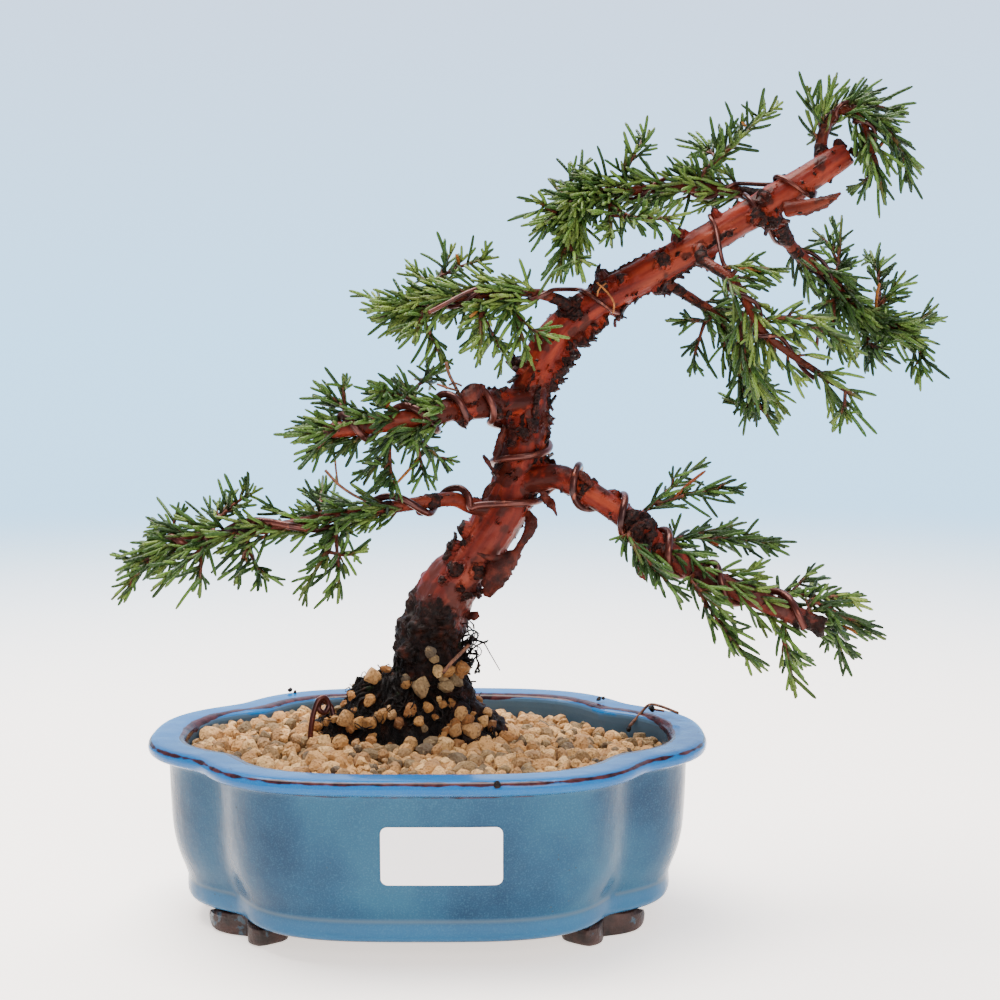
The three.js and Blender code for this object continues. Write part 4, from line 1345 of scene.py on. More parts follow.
def scrap_rows(count):
    settled = places_of(wood)
    limb_way = np.zeros((len(skin), 3))
    for line in lines.values():
        t = np.linspace(0, 1, 60)
        centres, along = line.at(t), line.frame(t)[0]
        apart = np.linalg.norm(skin[:, None] - centres[None], axis=2)
        nearest = apart.argmin(axis=1)
        inside = apart[np.arange(len(skin)), nearest] < line.radius(t)[nearest] + 0.6
        limb_way[inside] = along[nearest[inside]]
    fit = (old > 0.5) & (wet_foot < 0.6) & (np.linalg.norm(limb_way, axis=1) > 0.5)
    weight = fit * (0.2 + (turned_under > 0.6) + knot_share) * np.clip(thick / 6, 0.15, 1)
    picked = chance.choice(len(skin), size=count, replace=False, p=weight / weight.sum())
    rows = []
    for index in picked:
        along = limb_way[index] * chance.choice([-1, 1])
        along = unit(along + chance.normal(size=3) * 0.3)
        size = chance_between(1.2, 3) * min(1, thick[index] / 3.5)
        lift = math.radians(chance_between(4, 36))
        rows.append((settled[index] - ways[index] * 0.3, ways[index], along, size * 0.95, size, lift))
    return rows


def flakes(rows):
    kinds = chance.integers(len(FLAKE_SHAPES), size=len(rows))
    copies = []
    for kind, (base, out, along, length, width, lift) in zip(kinds, rows):
        along = unit(along - out * along.dot(out))
        across = np.cross(along, out)
        reach = along * math.cos(lift) + out * math.sin(lift)
        up = np.cross(across, reach)
        x, y, z = FLAKE_SHAPES[kind].T[:, :, None]
        copies.append(base + x * width * across + y * length * reach + z * width * up)
    return stamped("bark_flakes", np.array(copies), FLAKE_FACES)


def torn_bark(name, dark, middle, light):
    finish = Finish(name)
    place = finish.place()
    tone = finish.ramp(finish.grain(place, 3, 4), (0.32, dark), (0.5, middle), (0.66, light))
    return finish.paint(Base_Color=tone, Roughness=0.5, Specular_IOR_Level=0.15,
                        Normal=finish.relief(finish.grain(place, 0.8, 3), 0.4))


torn_finish = torn_bark("torn_bark", "0e0605", "220c08", "46170d")
scraps = flakes(flap_rows() + scrap_rows(170))
ready(shade(scraps, False), "bark_flakes", "bark", torn_finish)

# %% [markdown]
# Bigger pieces of bark have come loose and stand off the trunk, and one long strip hangs beside
# it with daylight between. Each is a small grid with some thickness, modelled once. Its copies
# follow a line of places listed in the photograph's view, at a depth that is given, and their
# edges are torn by rule.

# %% A strip of loose bark
def strip_shape():
    bpy.ops.mesh.primitive_grid_add(x_subdivisions=6, y_subdivisions=26, size=2)
    strip = bpy.context.object
    modify(strip, "SOLIDIFY", thickness=1, offset=0)
    return shape_of(strip)


STRIP_POINTS, STRIP_FACES = strip_shape()


def placed(across, down, depth):
    """The point that is seen at a pixel, at a depth in millimetres behind the pot's middle."""
    way = np.array(sight(across, down))
    return EYE + way * (depth - EYE[1]) / way[1]


# Rows of pixel across, pixel down, width in millimetres and depth
LOOSE_BARK = [
    [(527, 511, 2, 4), (531, 520, 4.4, 2.5), (530, 530, 4.2, 1.5), (522, 543, 2.6, 1), (516, 553, 3, 0.5)],
    [(519, 552, 3, 0.5), (509, 560, 7, 0), (499, 570, 9.5, -0.5), (492, 582, 8, -0.5), (487, 597, 2.4, 0)],
    [(504, 557, 1.8, 0), (494, 558, 2, -2), (484, 556, 1.6, -3.5), (477, 553, 0.6, -4)],
    [(505, 425, 1.6, 3), (501, 438, 2.8, 1.5), (498, 450, 3, 1), (495, 462, 1.6, 1)],
    [(483, 455, 1, 0), (487, 461, 1.7, 0), (492, 469, 1.2, 1), (499, 477, 1, 2)],
    [(496, 482, 0.8, 2), (490, 487, 2.6, 1), (485, 495, 2, 1), (482, 500, 0.4, 1)],
    [(540, 488, 2, 0), (546, 498, 3, 0), (551, 504, 3.4, -1), (554, 509, 1.6, -1), (557, 516, 0.5, -1)],
    [(546, 407, 1, 7), (547, 418, 1.8, 6), (547, 432, 2.2, 6), (544, 445, 1.2, 6)],
    [(460, 403, 2, -15), (468, 397, 5, -15.5), (477, 391, 5.4, -13.5), (486, 390, 3.4, -10)],
    [(503, 393, 1.6, 3.2), (510, 402, 2.6, 1.4), (512, 411, 1.6, 1)],
    [(461, 611, 1.6, 8), (468, 615, 2.4, 8), (473, 616, 3.4, 7), (479, 614, 2, 7)],
    [(790, 211, 3, -5), (806, 208, 5, -6.5), (824, 202, 4.2, -8), (841, 193, 0.8, -10)],
    [(833, 143, 2, -2), (839, 144, 3.4, -4), (845, 150, 2.6, -5)],
    [(849, 149, 2, -3), (855, 153, 2.8, -3), (860, 157, 1, -3)],
    [(642, 538, 2, -17), (638, 550, 2.4, -16.5), (638, 562, 3, -16), (642, 573, 3.6, -16),
     (647, 580, 1, -16)],
    [(418, 505, 2, -5.4), (420, 512, 2.8, -4.8), (424, 514, 1.4, -4.4)],
    [(575, 471, 2, -9.5), (584, 477, 3.4, -11), (593, 486, 1.6, -13)],
]


def loose_bark():
    copies = []
    for rows in LOOSE_BARK:
        line = Line([[*placed(across, down, depth), width / 2] for across, down, width, depth in rows])
        x, y, z = STRIP_POINTS.T
        t = (y + 1) / 2
        along = line.frame(t)[0]
        centre = line.at(t)
        ahead = unit(EYE - centre)
        side = unit(np.cross(along, ahead))
        half = line.radius(t)
        torn = 1 + 0.24 * noise_at(np.stack([np.sign(x) * 9, y * line.length() / 2, centre[:, 2]], 1), 1.3, 3)
        bow = 0.5 * half * (1 - x * x) + 0.5 * noise_at(centre + side * (x * half)[:, None], 3, 2)
        copies.append(centre + side * (x * half * torn)[:, None] + ahead * (bow + z * 0.5)[:, None])
    return stamped("loose_bark", np.array(copies), STRIP_FACES)


ready(loose_bark(), "loose_bark", "bark", torn_bark("maroon_bark", "220a07", "38120b", "552116"))

# %% [markdown]
# ## Training wires
# Copper-brown aluminium wire is wound round each limb and anchored on the trunk or on the next
# limb. The route is a coil, worked out turn by turn, and a smooth curve through it gets a round
# bevel. The thick wire goes on strong limbs and the thin one on twigs.

# %% Routes that wind round a limb
MAIN_WIRE = 1.25
FINE_WIRE = 0.75
CLEAR = 0.35
COIL_POINTS = 8


def coil(limb, first, last, turns, start_degrees, wire):
    line = lines[limb]
    count = max(2, round(abs(turns) * COIL_POINTS))
    share = np.linspace(0, 1, count + 1)
    t = first + (last - first) * share
    angle = math.radians(start_degrees) + share * turns * 2 * math.pi
    radius = line.radius(t) + wire + CLEAR
    return (line.at(t) + line.outward(t, angle) * radius[:, None]).tolist()


CROSSING = [[17, -3.4, 140.5], [23, -3.4, 141], [29, -3.6, 141.2], [34.5, -1.6, 141.4],
            [38.5, 3, 142], [42, 6.4, 145.5]]
# The radius of each wire and its stretches: points, or a coil's limb, ends, turns and first degrees
WIRES = {
    "wire_low": (MAIN_WIRE, ("low_left", 0.96, 0.2, 3.25, 180), CROSSING,
                 ("low_right", 0.24, 0.97, -4.5, 60)),
    "wire_mid_left": (MAIN_WIRE, ("trunk", 0.445, 0.5, -1, 40), ("mid_left", 0.24, 0.97, -3.75, 0)),
    "wire_high_left": (FINE_WIRE, ("trunk", 0.76, 0.715, 0.75, 90), ("high_left", 0.25, 0.8, 1.75, 200)),
    "wire_top_left": (FINE_WIRE, ("trunk", 0.96, 0.93, 0.7, 150), ("top_left", 0.14, 0.62, 2.25, 180)),
    "wire_front_hang": (FINE_WIRE, ("trunk", 0.865, 0.86, -0.6, 140), ("front_hang", 0.3, 0.95, 2.5, 0)),
    "wire_right": (FINE_WIRE, ("trunk", 0.9, 0.905, -0.6, 0), ("right_high", 0.12, 0.72, -1.75, 180)),
    "wire_apex": (FINE_WIRE, ("apex", 0.3, 0.95, 2.25, 0)),
}


def wire_along(name, route, radius, count):
    line = Line([[*point, radius] for point in route])
    t = np.linspace(0, 1, count)
    return shade(bent_rod(name, line.at(t), line.radius(t), 4))


def copper_brown():
    finish = Finish("copper_brown")
    place = finish.place()
    tone = finish.ramp(finish.grain(place, 8, 3), (0.35, "2f1310"), (0.62, "54241b"))
    # Painted highlight: random flecks of lighter red-brown sheen on the wire
    highlight_flecks = finish.step(finish.grain(place, 3, 4), 0.6, 0.7) * 0.5
    tone = finish.mix(highlight_flecks, tone, colour("8a4630"))
    rough = finish.grain(place, 4, 2) * 0.2 + 0.22
    return finish.paint(Base_Color=tone, Metallic=0.55, Roughness=rough)


wire_finish = copper_brown()
wire_pieces = []
for name, (radius, *stretches) in WIRES.items():
    route = []
    for stretch in stretches:
        route += stretch if stretch is CROSSING else coil(*stretch, radius)
    wire = wire_along(name, route, radius, 5 * (len(route) - 1) + 1)
    wire_pieces.append(ready(wire, "training_" + name, "bonsai_wire", wire_finish, name))

# %% The tie that holds the root ball down
TIE = [
    [-40, -6, 50], [-40.2, -6.3, 60], [-39.4, -5.6, 68], [-37.6, -4.2, 73.6], [-35.4, -2.8, 74.4],
    [-34.2, -2.4, 71.6], [-35.6, -3.8, 69.4], [-37.4, -4.6, 71], [-36.6, -2.2, 73.2], [-33.8, -1.6, 71.4],
    [-32.6, -2.6, 68.2],
]
TIE_WIRE = 0.95
tie = wire_along("tie", TIE, TIE_WIRE, 80)
ready(tie, "tie_wire", "bonsai_wire", wire_finish, "tie_down_wire")

# %% The screens over the drain holes
def plastic_mesh():
    finish = Finish("plastic_mesh")
    place = finish.place()
    tone = finish.mix(finish.grain(place, 4, 2), colour("1a201d"), colour("2b332f"))
    return finish.paint(Base_Color=tone, Roughness=0.7)


screen_finish = plastic_mesh()
for name in ("drain_screen_left", "drain_screen_right"):
    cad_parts[name].data.materials.clear()
    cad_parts[name].data.materials.append(screen_finish)

# %% [markdown]
# ## Foliage
# Kishu juniper has no needles to speak of. Its shoots are thin green cords of tiny pressed
# scales, 7 to 12 mm long, and they fan out from stems that fork. One cord is modelled by
# extruding a small ring. Each copy is then given a start, a way, a bend and a length, and the
# stems carry the same rows as the plain solids do, so every spray keeps its form.

# %% One cord of scales
def cord_shape():
    bpy.ops.mesh.primitive_circle_add(vertices=5, radius=0.9, fill_type="NGON")
    piece = bpy.context.object
    bpy.ops.object.mode_set(mode="EDIT")
    for rise, scale in ((0.3, 1.12), (0.38, 1.0), (0.25, 0.9), (0.07, 0.52)):
        bpy.ops.mesh.extrude_region_move(TRANSFORM_OT_translate={"value": (0, 0, rise)})
        bpy.ops.transform.resize(value=(scale, scale, 1))
    close_edit()
    return shape_of(piece)


CORD_POINTS, CORD_FACES = cord_shape()
print("a cord has", len(CORD_FACES), "faces")

# %% The stems: place along the limb, then the tips of a stem and its forks
SPRAYS = {
    "low_left": [
        (1, [-102, -26, 112], [-100, -10, 123]),
        (0.92, [-93, -6, 135], [-81, -16, 141]),
        (0.82, [-86, -40, 117], [-71, -36, 116]),
        (0.8, [-64, -2, 146], [-53, -20, 148]),
        (0.74, [-65, -8, 114], [-50, -30, 119]),
        (0.62, [-36, 4, 150], [-30, 14, 141]),
        (0.6, [-40, -34, 113], [-28, -24, 112], [-18, -34, 130]),
    ],
    "mid_left": [
        (0.97, [-45, -28, 165], [-39, -36, 156]),
        (0.89, [-37, -14, 183], [-25, -30, 184]),
        (0.76, [-21, -10, 148], [-10, -26, 146]),
        (0.68, [-10, -4, 185], [-16, -40, 180], [7, 8, 186]),
        (0.7, [8, 4, 152], [1, -16, 148]),
    ],
    "high_left": [
        (1, [-19, -2, 203], [-17, 10, 213]),
        (0.86, [-4, -14, 195], [6, 2, 189]),
        (0.76, [-8, 16, 222], [9, 12, 228], [24, 2, 224]),
        (0.6, [18, -18, 188], [29, 6, 188]),
        (0.46, [36, -8, 186], [43, -13, 197]),
    ],
    "top_left": [
        (1, [43, -4, 215], [54, -14, 221]),
        (0.92, [34, 2, 231], [37, -8, 242]),
        (0.84, [41, 14, 251], [56, 24, 259]),
        (0.58, [61, -14, 226], [74, -8, 235], [88, -2, 238]),
        (0.48, [67, 6, 260], [77, 14, 267]),
        (0.26, [108, 4, 266], [121, 16, 277], [94, 28, 263]),
    ],
    "apex": [
        (0.24, [137, 4, 285], [125, -6, 279]),
        (0.54, [150, 10, 281], [159, 0, 271]),
        (0.8, [160, -16, 251], [162, 2, 246]),
        (1, [150, -12, 240], [140, 0, 247]),
    ],
    "right_high": [
        (1, [180, 30, 209], [171, 22, 181]),
        (0.78, [164, 14, 220], [157, 38, 228]),
        (0.8, [156, 34, 185], [158, 8, 193]),
        (0.4, [145, 30, 240], [136, 36, 235]),
        (0.5, [132, 10, 208], [141, 14, 194]),
    ],
    "front_hang": [
        (1, [141, -24, 177], [129, -34, 170]),
        (0.38, [118, -20, 218], [108, -6, 222]),
        (0.55, [103, -14, 185], [110, -24, 177], [119, -10, 172]),
        (0.64, [131, -32, 203], [143, -14, 192]),
    ],
    "back_hang": [
        (1, [122, 20, 165], [103, 26, 176]),
        (0.36, [81, 10, 203], [90, 14, 185]),
        (0.5, [102, 26, 221], [118, 34, 198]),
    ],
    "low_right": [
        (0.5, [94, -4, 157], [105, -14, 148]),
        (0.62, [109, 4, 134], [121, -4, 127]),
        (0.52, [70, -32, 125], [85, -34, 113]),
        (0.72, [99, -40, 107], [109, -30, 89]),
        (0.92, [147, -18, 110], [130, -6, 118]),
        (0.94, [119, -38, 82], [124, -16, 90]),
        (0.97, [149, -32, 100], [140, -14, 87]),
    ],
}


def spray_stems(limb, place, *tips):
    first = np.array(tips[0], float)
    centre = limb.at(place)[0]
    along = limb.frame(place)[0][0]
    out = first - centre
    out = unit(out - along * out.dot(along)) if place < 1 else along
    knee = centre + out * (3.3 + (limb.radius(place)[0] if place < 1 else 0))
    middle = (knee + first) / 2
    stem = Line([[*centre, 0.95], [*knee, 0.85], [*middle, 0.7], [*first, 0.4]])
    forks = []
    for number, tip in enumerate(tips[1:]):
        start = stem.at(0.4 + 0.15 * number)[0]
        elbow = (start + tip) / 2 + out * 2
        forks.append(Line([[*start, 0.7], [*elbow, 0.55], [*tip, 0.4]]))
    return [stem, *forks]


# %% [markdown]
# A spray on its own leaves the limb bare between the stalks. On the tree short stems clothe it
# all round, and every stem carries side stems at an acute angle. Two rules add them: some grow
# out of the limb near the foot of a spray, some out of a stem, and each turns by the golden angle
# from the last, which is how shoots share the light.

# %% Side stems, and short stems that clothe the limb
GOLDEN_ANGLE = math.radians(137.5)
blocked_by = surface_of(wood, *wire_pieces)


def is_free(start, way, length):
    if np.any(start + way * length < BOX_LOW) or np.any(start + way * length > BOX_HIGH):
        return False
    return blocked_by.ray_cast(Vector(start), Vector(way), length)[0] is None


def short_stem(start, way, curl, length, thick):
    middle = start + way * length * 0.5
    end = start + unit(way + curl * 0.3) * length
    return Line([[*start, thick], [*middle, thick * 0.85], [*end, thick * 0.6]])


def side_stems(stem, first, gap, spin):
    length = stem.length()
    t = np.arange(first, length - 7, gap) / length
    away = stem.outward(t, np.arange(len(t)) * GOLDEN_ANGLE + spin)
    found = []
    for start, along, out in zip(stem.at(t), stem.frame(t)[0], away):
        splay = math.radians(chance_between(32, 50))
        way = along * math.cos(splay) + out * math.sin(splay)
        reach = chance_between(3, 5)
        if is_free(start + way * 1.2, way, reach + 4):
            found.append(short_stem(start, way, along, reach, 0.5))
    return found


def clothing(limb, low, high, gap, bare_from):
    """Short stems out of the limb between two places, with a gap in front past bare_from."""
    found = []
    count = max(3, round((high - low) * limb.length() / gap))
    for number in range(count):
        t = low + (high - low) * (number + 0.5) / count
        angle = number * GOLDEN_ANGLE + low * 40
        if t > bare_from and math.cos(angle + math.pi / 2) > 0.35:
            angle += math.pi
        out, along = limb.outward(t, angle)[0], limb.frame(t)[0][0]
        splay = math.radians(chance_between(40, 62))
        way = along * math.cos(splay) + out * math.sin(splay)
        reach = limb.radius(t)[0] + chance_between(2.5, 7)
        start = limb.at(t)[0]
        if is_free(start + way * (limb.radius(t)[0] + 1.5) * 1.2, way, reach):
            found.append(short_stem(start, way, along, reach, 0.55))
    return found


# %% Cords that stand out of a stem
CORD_RADIUS = 0.6


def cords_of(stem, first, gap, longest, spin, lean, ending=0.5):
    """Rows of start, way, bend, length and place along the stem, one for each cord.
    The cords lean the way that the limb grows, and the last one runs straight on."""
    whole = stem.length()
    last = max(1 - ending / whole, 0.5)
    low = min(first / whole, last - 0.15)
    count = max(2, round((last - low) * whole / gap))
    t = np.linspace(low, last, count)
    out = stem.outward(t, np.arange(count) * GOLDEN_ANGLE + spin)
    along = stem.frame(t)[0]
    splay = np.radians(chance.uniform(30, 52, count) * (1.1 - 0.5 * t ** 3))[:, None]
    way = unit(along * np.cos(splay) + out * np.sin(splay) + lean * 0.3)
    bend = along * chance.uniform(0, 0.28, (count, 1)) + lean * 0.15 + chance.normal(size=(count, 3)) * 0.09
    length = longest * (1.15 - 0.55 * t) * chance.uniform(0.6, 1.08, count)
    rows = list(zip(stem.at(t), way, bend, length, t))
    end_way = stem.frame(last)[0][0]
    rows.append((stem.at(last)[0], end_way, bend[-1] * 0.3, max(whole * (1 - last), longest * 0.5), 1.0))
    return [row for row in rows if is_free(row[0] + row[1] * 1.3, row[1], row[3])]


def forked(cord):
    """The short cords that leave a longer one."""
    start, way, bend, length, young = cord
    found = []
    for share in (0.3, 0.5)[:chance.choice([0, 0, 1, 1, 2])]:
        turn = unit(np.cross(way, chance.normal(size=3)))
        lean = math.radians(chance_between(24, 40))
        fork = unit(way * math.cos(lean) + turn * math.sin(lean))
        foot = start + way * length * share + bend * length * share ** 2
        reach = length * chance_between(0.35, 0.6)
        if is_free(foot + fork, fork, reach):
            found.append((foot, fork, bend * 0.5, reach, young))
    return found


def cord_copies(name, cords, fresh):
    start, way, bend = (np.array([cord[i] for cord in cords]) for i in range(3))
    length, young = (np.array([cord[i] for cord in cords], float) for i in (3, 4))
    side = unit(np.cross(way, chance.normal(size=way.shape)))
    over = np.cross(way, side)
    thick = CORD_RADIUS * chance.uniform(0.86, 1.1, len(cords)) * np.clip(length / 7, 0.85, 1)
    x, y, height = CORD_POINTS.T[:, None, :, None]
    spine = start[:, None] + length[:, None, None] * (
        way[:, None] * height + bend[:, None] * height ** 2)
    ring = side[:, None] * x + over[:, None] * y
    piece = stamped(name, spine + ring * thick[:, None, None], CORD_FACES)
    each = len(CORD_POINTS)
    dry = (chance.random(len(cords)) < 0.012 * (young < 0.5)).astype(float)
    mark(piece, "tip", np.tile(CORD_POINTS[:, 2], len(cords)))
    mark(piece, "tint", np.repeat(chance.random(len(cords)), each))
    mark(piece, "young", np.repeat(young, each))
    mark(piece, "dry", np.repeat(dry, each))
    mark(piece, "fresh", np.full(len(cords) * each, fresh))
    angle = np.arctan2(CORD_POINTS[:, 1], CORD_POINTS[:, 0])
    scales = np.stack([np.tile(np.cos(angle), (len(cords), 1)), np.tile(np.sin(angle), (len(cords), 1)),
                       length[:, None] * CORD_POINTS[:, 2]], 2)
    mark(piece, "scales", scales.reshape(-1, 3))
    return piece


# %% The finish of the scales and of the stems
def scale_green():
    finish = Finish("scale_green")
    tip, tint, young = finish.kept("tip"), finish.kept("tint"), finish.kept("young")
    deep = finish.ramp(tint, (0, "11200c"), (0.5, "213816"), (1, "3e5e28"))
    light = finish.ramp(tint, (0, "203812"), (0.5, "3c5a21"), (1, "6e8a38"))
    # Lit and shaded greens: fresh, lit limbs take the lighter ramp, partly painted light; the deep ramp is
    # partly painted shade
    tone = finish.mix(finish.kept("fresh"), deep, light)
    # Yellow-green on the outer cords of a stem: new growth, partly a painted highlight of sky light
    new_growth_and_highlight = finish.step(young + finish.kept("fresh") - tip * 0.3, 0.9, 1.9)
    tone = finish.mix(new_growth_and_highlight * 0.6, tone, colour("8e9c4a"))
    # Painted shade: cords near the limb, deep inside the spray, are darkened
    tone = finish.mix(finish.step(young + tip * 0.7, 0.9, 0.15) * 0.65, tone, colour("101c09"))
    # The foot of each cord is darker and browner: partly its own brown, partly painted shade where it meets
    # the stem
    tone = finish.mix(finish.step(tip, 0.35, 0.0) * 0.65, tone, colour("2c2a0e"))
    ends = finish.step(tip, 0.8, 1.0) * finish.step(tint, 0.5, 0.75)
    tone = finish.mix(ends * 0.4, tone, colour("5a5542"))
    tone = finish.mix(finish.kept("dry"), tone, finish.ramp(tint, (0.2, "6a3010"), (0.9, "946028")))
    around, across, along = (finish.part(finish.kept("scales", 1), axis) for axis in range(3))
    wave = finish.node("Math", {"operation": "SINE"}, {0: along * 5.6})
    relief = (around * around - across * across) * wave
    # Painted shade in the grooves between the scales
    tone = finish.mix(finish.step(relief, 0.1, -0.6) * 0.14, tone, colour("10260b"))
    return finish.paint(Base_Color=tone, Roughness=0.45, Specular_IOR_Level=0.2,
                        Normal=finish.relief(relief, 0.1))


def twig_brown():
    finish = Finish("twig_brown")
    share = finish.kept("share")
    rough = finish.grain(finish.place(), 1.1, 3)
    brown = finish.ramp(rough, (0.35, "270d07"), (0.62, "5b2812"))
    tone = finish.mix(finish.step(share, 0.45, 0.9), brown, colour("3e4b16"))
    return finish.paint(Base_Color=tone, Roughness=0.6, Specular_IOR_Level=0.3,
                        Normal=finish.relief(rough, 0.3))


green_finish, twig_finish = scale_green(), twig_brown()

# %% Every spray
# How fresh each limb's green is, partly painted light and shade, where its foliage starts,
# the gap of its stems, and the place past which the limb is bare in front
DRESS = {
    "low_left": (0.35, 0.44, 0.9, 0.95), "mid_left": (0.4, 0.5, 0.6, 0.8),
    "high_left": (0.7, 0.3, 0.75, 2), "top_left": (0.55, 0.12, 0.75, 2),
    "apex": (0.4, 0.15, 1.1, 2), "right_high": (0.35, 0.2, 0.75, 2),
    "front_hang": (0.7, 0.3, 1.7, 2), "back_hang": (0.25, 0.2, 1.6, 2),
    "low_right": (0.4, 0.5, 1.15, 0.9),
}
FIRST_CORD = 2
cord_total = 0
for limb_name, rows in SPRAYS.items():
    fresh, dressed, gap, bare_from = DRESS[limb_name]
    limb = lines[limb_name]
    stem_gap = min(1.3, gap + 0.25)
    order = np.argsort(np.argsort([row[0] for row in rows]))
    borders = np.linspace(dressed, 0.99, len(rows) + 1)
    for number, row in enumerate(rows, 1):
        stems = spray_stems(limb, *row)
        low = limb.radius(row[0])[0] + 1
        lean = limb.frame(row[0])[0][0]
        cords = []
        for i, stem in enumerate(stems):
            cords += cords_of(stem, FIRST_CORD + low, stem_gap, 11, number * 7 + i * 31, lean, 6.5)
        part = order[number - 1]
        shorts = clothing(limb, borders[part], borders[part + 1], gap, bare_from)
        for i, stem in enumerate(shorts):
            cords += cords_of(stem, low, 1.0, 10.5, number + i, lean)
        sides = [side for stem in stems for side in side_stems(stem, low + 2, 5 + 2 * gap, number)]
        for i, stem in enumerate(sides):
            cords += cords_of(stem, 1.2, 1.2, 7, i, lean)
        cords += [fork for cord in cords if cord[3] > 5.5 for fork in forked(cord)]
        name = limb_name + "_" + str(number)
        leaves = cord_copies("foliage_" + name, cords, min(max(fresh + chance_between(-0.2, 0.2), 0), 1))
        leaves.data.materials.append(green_finish)
        twigs = tubes("twigs", stems + shorts + sides, 5, 2.5)
        twigs.data.materials.append(twig_finish)
        spray = joined([leaves, twigs])
        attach(spray, "root")
        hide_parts("spray_" + name)
        cord_total += len(cords)
print(cord_total, "cords of scales")

# %% [markdown]
# A few dry things lie on the tree and on the rim: dead twigs, a thread of raffia, a crumb or two
# of soil and the ends of wire that stand free.

# %% Dead twigs, raffia and crumbs
# Rows of pixel across, pixel down and depth, then the radius in millimetres
DRY_TWIGS = [
    ([(506, 361, 4), (512, 368, 5), (519, 374, 6), (524, 379, 6)], 0.5),
    ([(446, 362, -14), (449, 374, -13), (455, 386, -12), (462, 400, -11)], 0.55),
    ([(462, 386, -12), (455, 383, -12), (449, 385, -13)], 0.35),
    ([(437, 384, -16), (448, 388, -14), (459, 391, -12)], 0.4),
    ([(325, 470, -17), (338, 484, -17), (352, 494, -17), (366, 501, -18)], 0.5),
    ([(335, 458, -18), (336, 470, -17.5), (338, 484, -17)], 0.35),
    ([(469, 645, 0), (461, 653, -3), (452, 662, -7), (443, 673, -9)], 0.6),
    ([(629, 727, 22), (640, 714, 24), (649, 705, 25), (660, 706, 21), (678, 713, 12)], 0.55),
    ([(649, 705, 25), (653, 709, 19), (664, 711, 16)], 0.4),
    ([(805, 601, -26), (822, 597, -26), (838, 596, -26)], 0.45),
]
FREE_WIRES = [
    ([(485, 286, -3), (466, 293, -6), (447, 303, -8), (428, 313, -9)], 0.75),
    ([(819, 313, 10), (821, 322, 10), (818, 333, 10), (817, 346, 10)], 0.6),
]
RAFFIA = [([(597, 283, -2), (603, 288, -4), (610, 296, -4), (614, 304, -3), (613, 313, -1)], 0.36),
          ([(606, 283, -2), (599, 289, -4), (597, 296, -3)], 0.3)]
CRUMBS = [(290, 690, 57, 0.8), (295, 692, 56, 0.6), (599, 699, 41, 0.8), (603, 698, 41, 0.6),
          (629, 729, 20, 0.8), (652, 708, 17, 1.1), (497, 784, -67.5, 1)]
# The last shoot of low_right is a long bare twig with a few yellow cords: where each starts and ends
YELLOW_CORDS = [
    ((838, 596), (873, 610)), ((846, 598), (868, 600)), ((852, 601), (862, 612)), ((842, 598), (850, 608)),
    ((834, 597), (843, 608)), ((826, 597), (832, 606)), ((836, 596), (848, 593)), ((822, 597), (812, 605)),
]


def drawn(kept):
    return [Line([[*placed(*row), radius] for row in rows]) for rows, radius in kept]


def dead_wood(name, pale, dark):
    finish = Finish(name)
    tone = finish.ramp(finish.grain(finish.place(), 1.2, 3), (0.35, dark), (0.65, pale))
    return finish.paint(Base_Color=tone, Roughness=0.75)


twig_wood, raffia_brown = dead_wood("dead_twig", "7a4a2c", "3a2118"), dead_wood("raffia", "9c5c1c", "6c360c")
ready(tubes("dry_twigs", drawn(DRY_TWIGS), 6, 1.2), "dry_twigs", "bark", twig_wood)
ready(tubes("raffia", drawn(RAFFIA), 5, 1.2), "raffia", "bark", raffia_brown)
ready(tubes("free_wires", drawn(FREE_WIRES), 8, 1), "free_wires", "bonsai_wire", wire_finish)
crumbs = np.array([[*placed(across, down, depth), size] for across, down, depth, size in CRUMBS])
ready(stone_pile("crumbs", crumbs, np.zeros(len(crumbs))), "crumbs", "bark", root_finish)

SHOOT_DEPTH = -26
shoot = []
for first, last in YELLOW_CORDS:
    start = placed(*first, SHOOT_DEPTH)
    end = placed(*last, SHOOT_DEPTH + chance_between(-3, 3))
    length = np.linalg.norm(end - start)
    shoot.append((start, (end - start) / length, np.zeros(3), length, 1.0))
ready(cord_copies("last_shoot", shoot, 1), "last_shoot", "foliage", green_finish)

# %% [markdown]
# ## Floor, light and camera
# The floor and the light aren't part of the tree. A wide pale floor runs out into a sky that is
# bright behind the tree and dim behind the camera. One large soft lamp hangs high on the left, and
# a weaker one fills from the front right. The camera stands where the photograph was taken from.

# %% A pale floor
bpy.ops.mesh.primitive_circle_add(vertices=96, radius=3, fill_type="NGON", location=(0, 0, -0.0002))
floor = bpy.context.object
floor.name = "floor"
finish = Finish("pale_floor")
reach = finish.node("VectorMath", {"operation": "LENGTH"}, {0: finish.place()}, 1)
tone = finish.mix(finish.step(reach, 0.2, 1.0), colour("faf3ec"), colour("e6f1f7"))
faded = finish.step(reach, 1.5, 0.35)
floor.data.materials.append(finish.paint(Base_Color=tone, Roughness=0.8, Alpha=faded,
                                         Emission_Color=colour("fff6ee"), Emission_Strength=1.3))

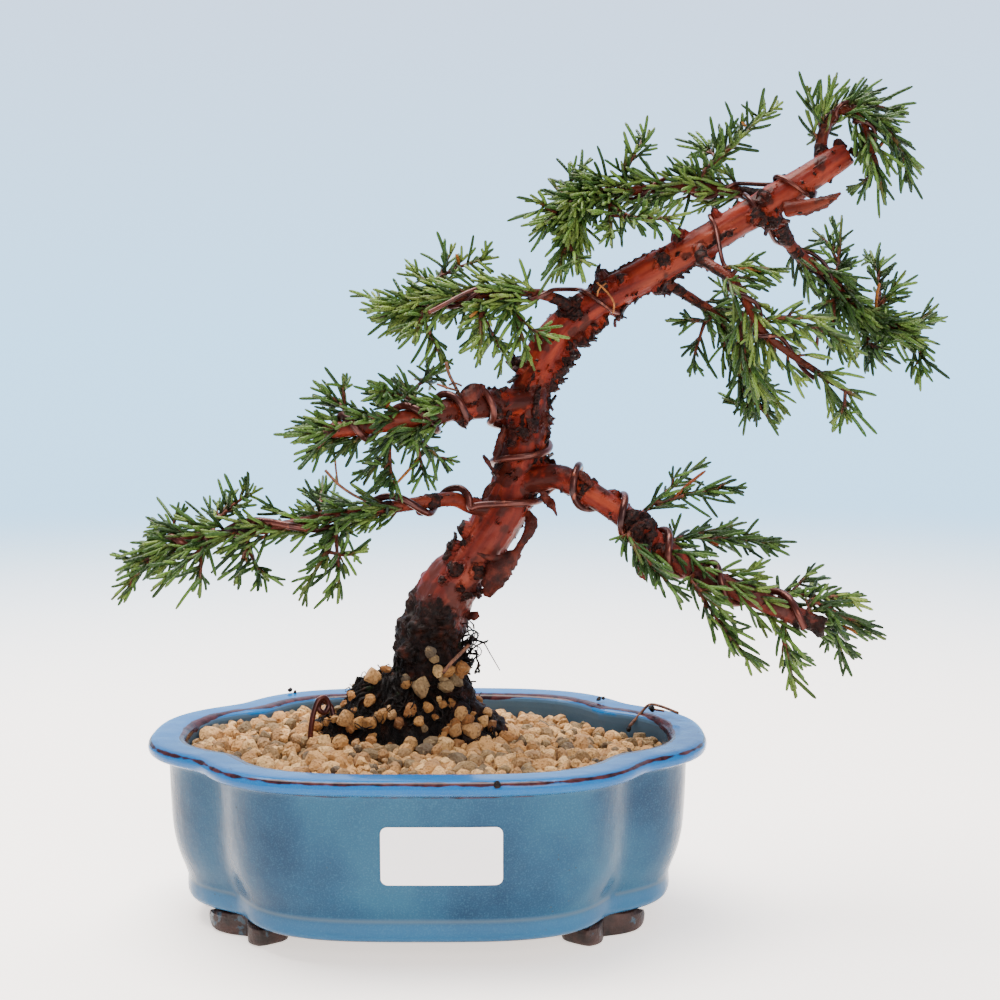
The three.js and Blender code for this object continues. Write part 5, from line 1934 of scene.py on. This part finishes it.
# %% The room: a bright backdrop, a darker side behind the camera, and two soft lamps
world = bpy.data.worlds.new("soft_room")
bpy.context.scene.world = world
world.use_nodes = True
room = world.node_tree


def room_node(kind, feeds, **settings):
    made = room.nodes.new("ShaderNode" + kind)
    for setting, value in settings.items():
        setattr(made, setting, value)
    for place, value in feeds.items():
        if isinstance(value, bpy.types.NodeSocket):
            room.links.new(value, made.inputs[place])
        else:
            made.inputs[place].default_value = value
    return made


direction = room_node("SeparateXYZ", {0: room_node("TexCoord", {}).outputs["Generated"]})
to_right = room_node("Math", {0: direction.outputs["X"], 1: 0.5, 2: direction.outputs["Y"]},
                     operation="MULTIPLY_ADD")
to_back = room_node("MapRange", {0: to_right.outputs[0], 1: 0.15, 2: 0.8, 3: 0.7, 4: 3.1},
                    interpolation_type="SMOOTHSTEP")
height = room_node("MapRange", {0: direction.outputs["Z"], 1: 0.0, 2: 0.3})
tint = room_node("Mix", {0: height.outputs[0], 6: colour("9ed2f8"), 7: colour("b4bcd4")}, data_type="RGBA")
backdrop = room.nodes["Background"]
room.links.new(tint.outputs[2], backdrop.inputs["Color"])
room.links.new(to_back.outputs[0], backdrop.inputs["Strength"])


# Both lamps face this point, in metres
LIT_POINT = Vector((0, 0, 0.12))


def lamp(name, place, size, power, tint):
    data = bpy.data.lights.new(name, "AREA")
    data.size = size
    data.energy = power
    data.color = colour(tint)[:3]
    light = in_scene(name, data)
    light.location = place
    light.rotation_euler = (LIT_POINT - Vector(place)).to_track_quat("-Z", "Y").to_euler()


lamp("ceiling", (-0.25, 0.15, 1.3), 1.0, 64, "fffaf4")
lamp("window", (0.45, -1.05, 0.5), 0.6, 11, "fff8ee")

# %% The camera
SENSOR = 36
camera_data = bpy.data.cameras.new("camera")
camera_data.sensor_width = SENSOR
camera_data.lens = SENSOR * FOCAL / FRAME
camera = in_scene("camera", camera_data)
camera.location = metres(EYE)
camera.rotation_euler = (math.pi / 2 - PITCH, 0, 0)
bpy.context.scene.camera = camera
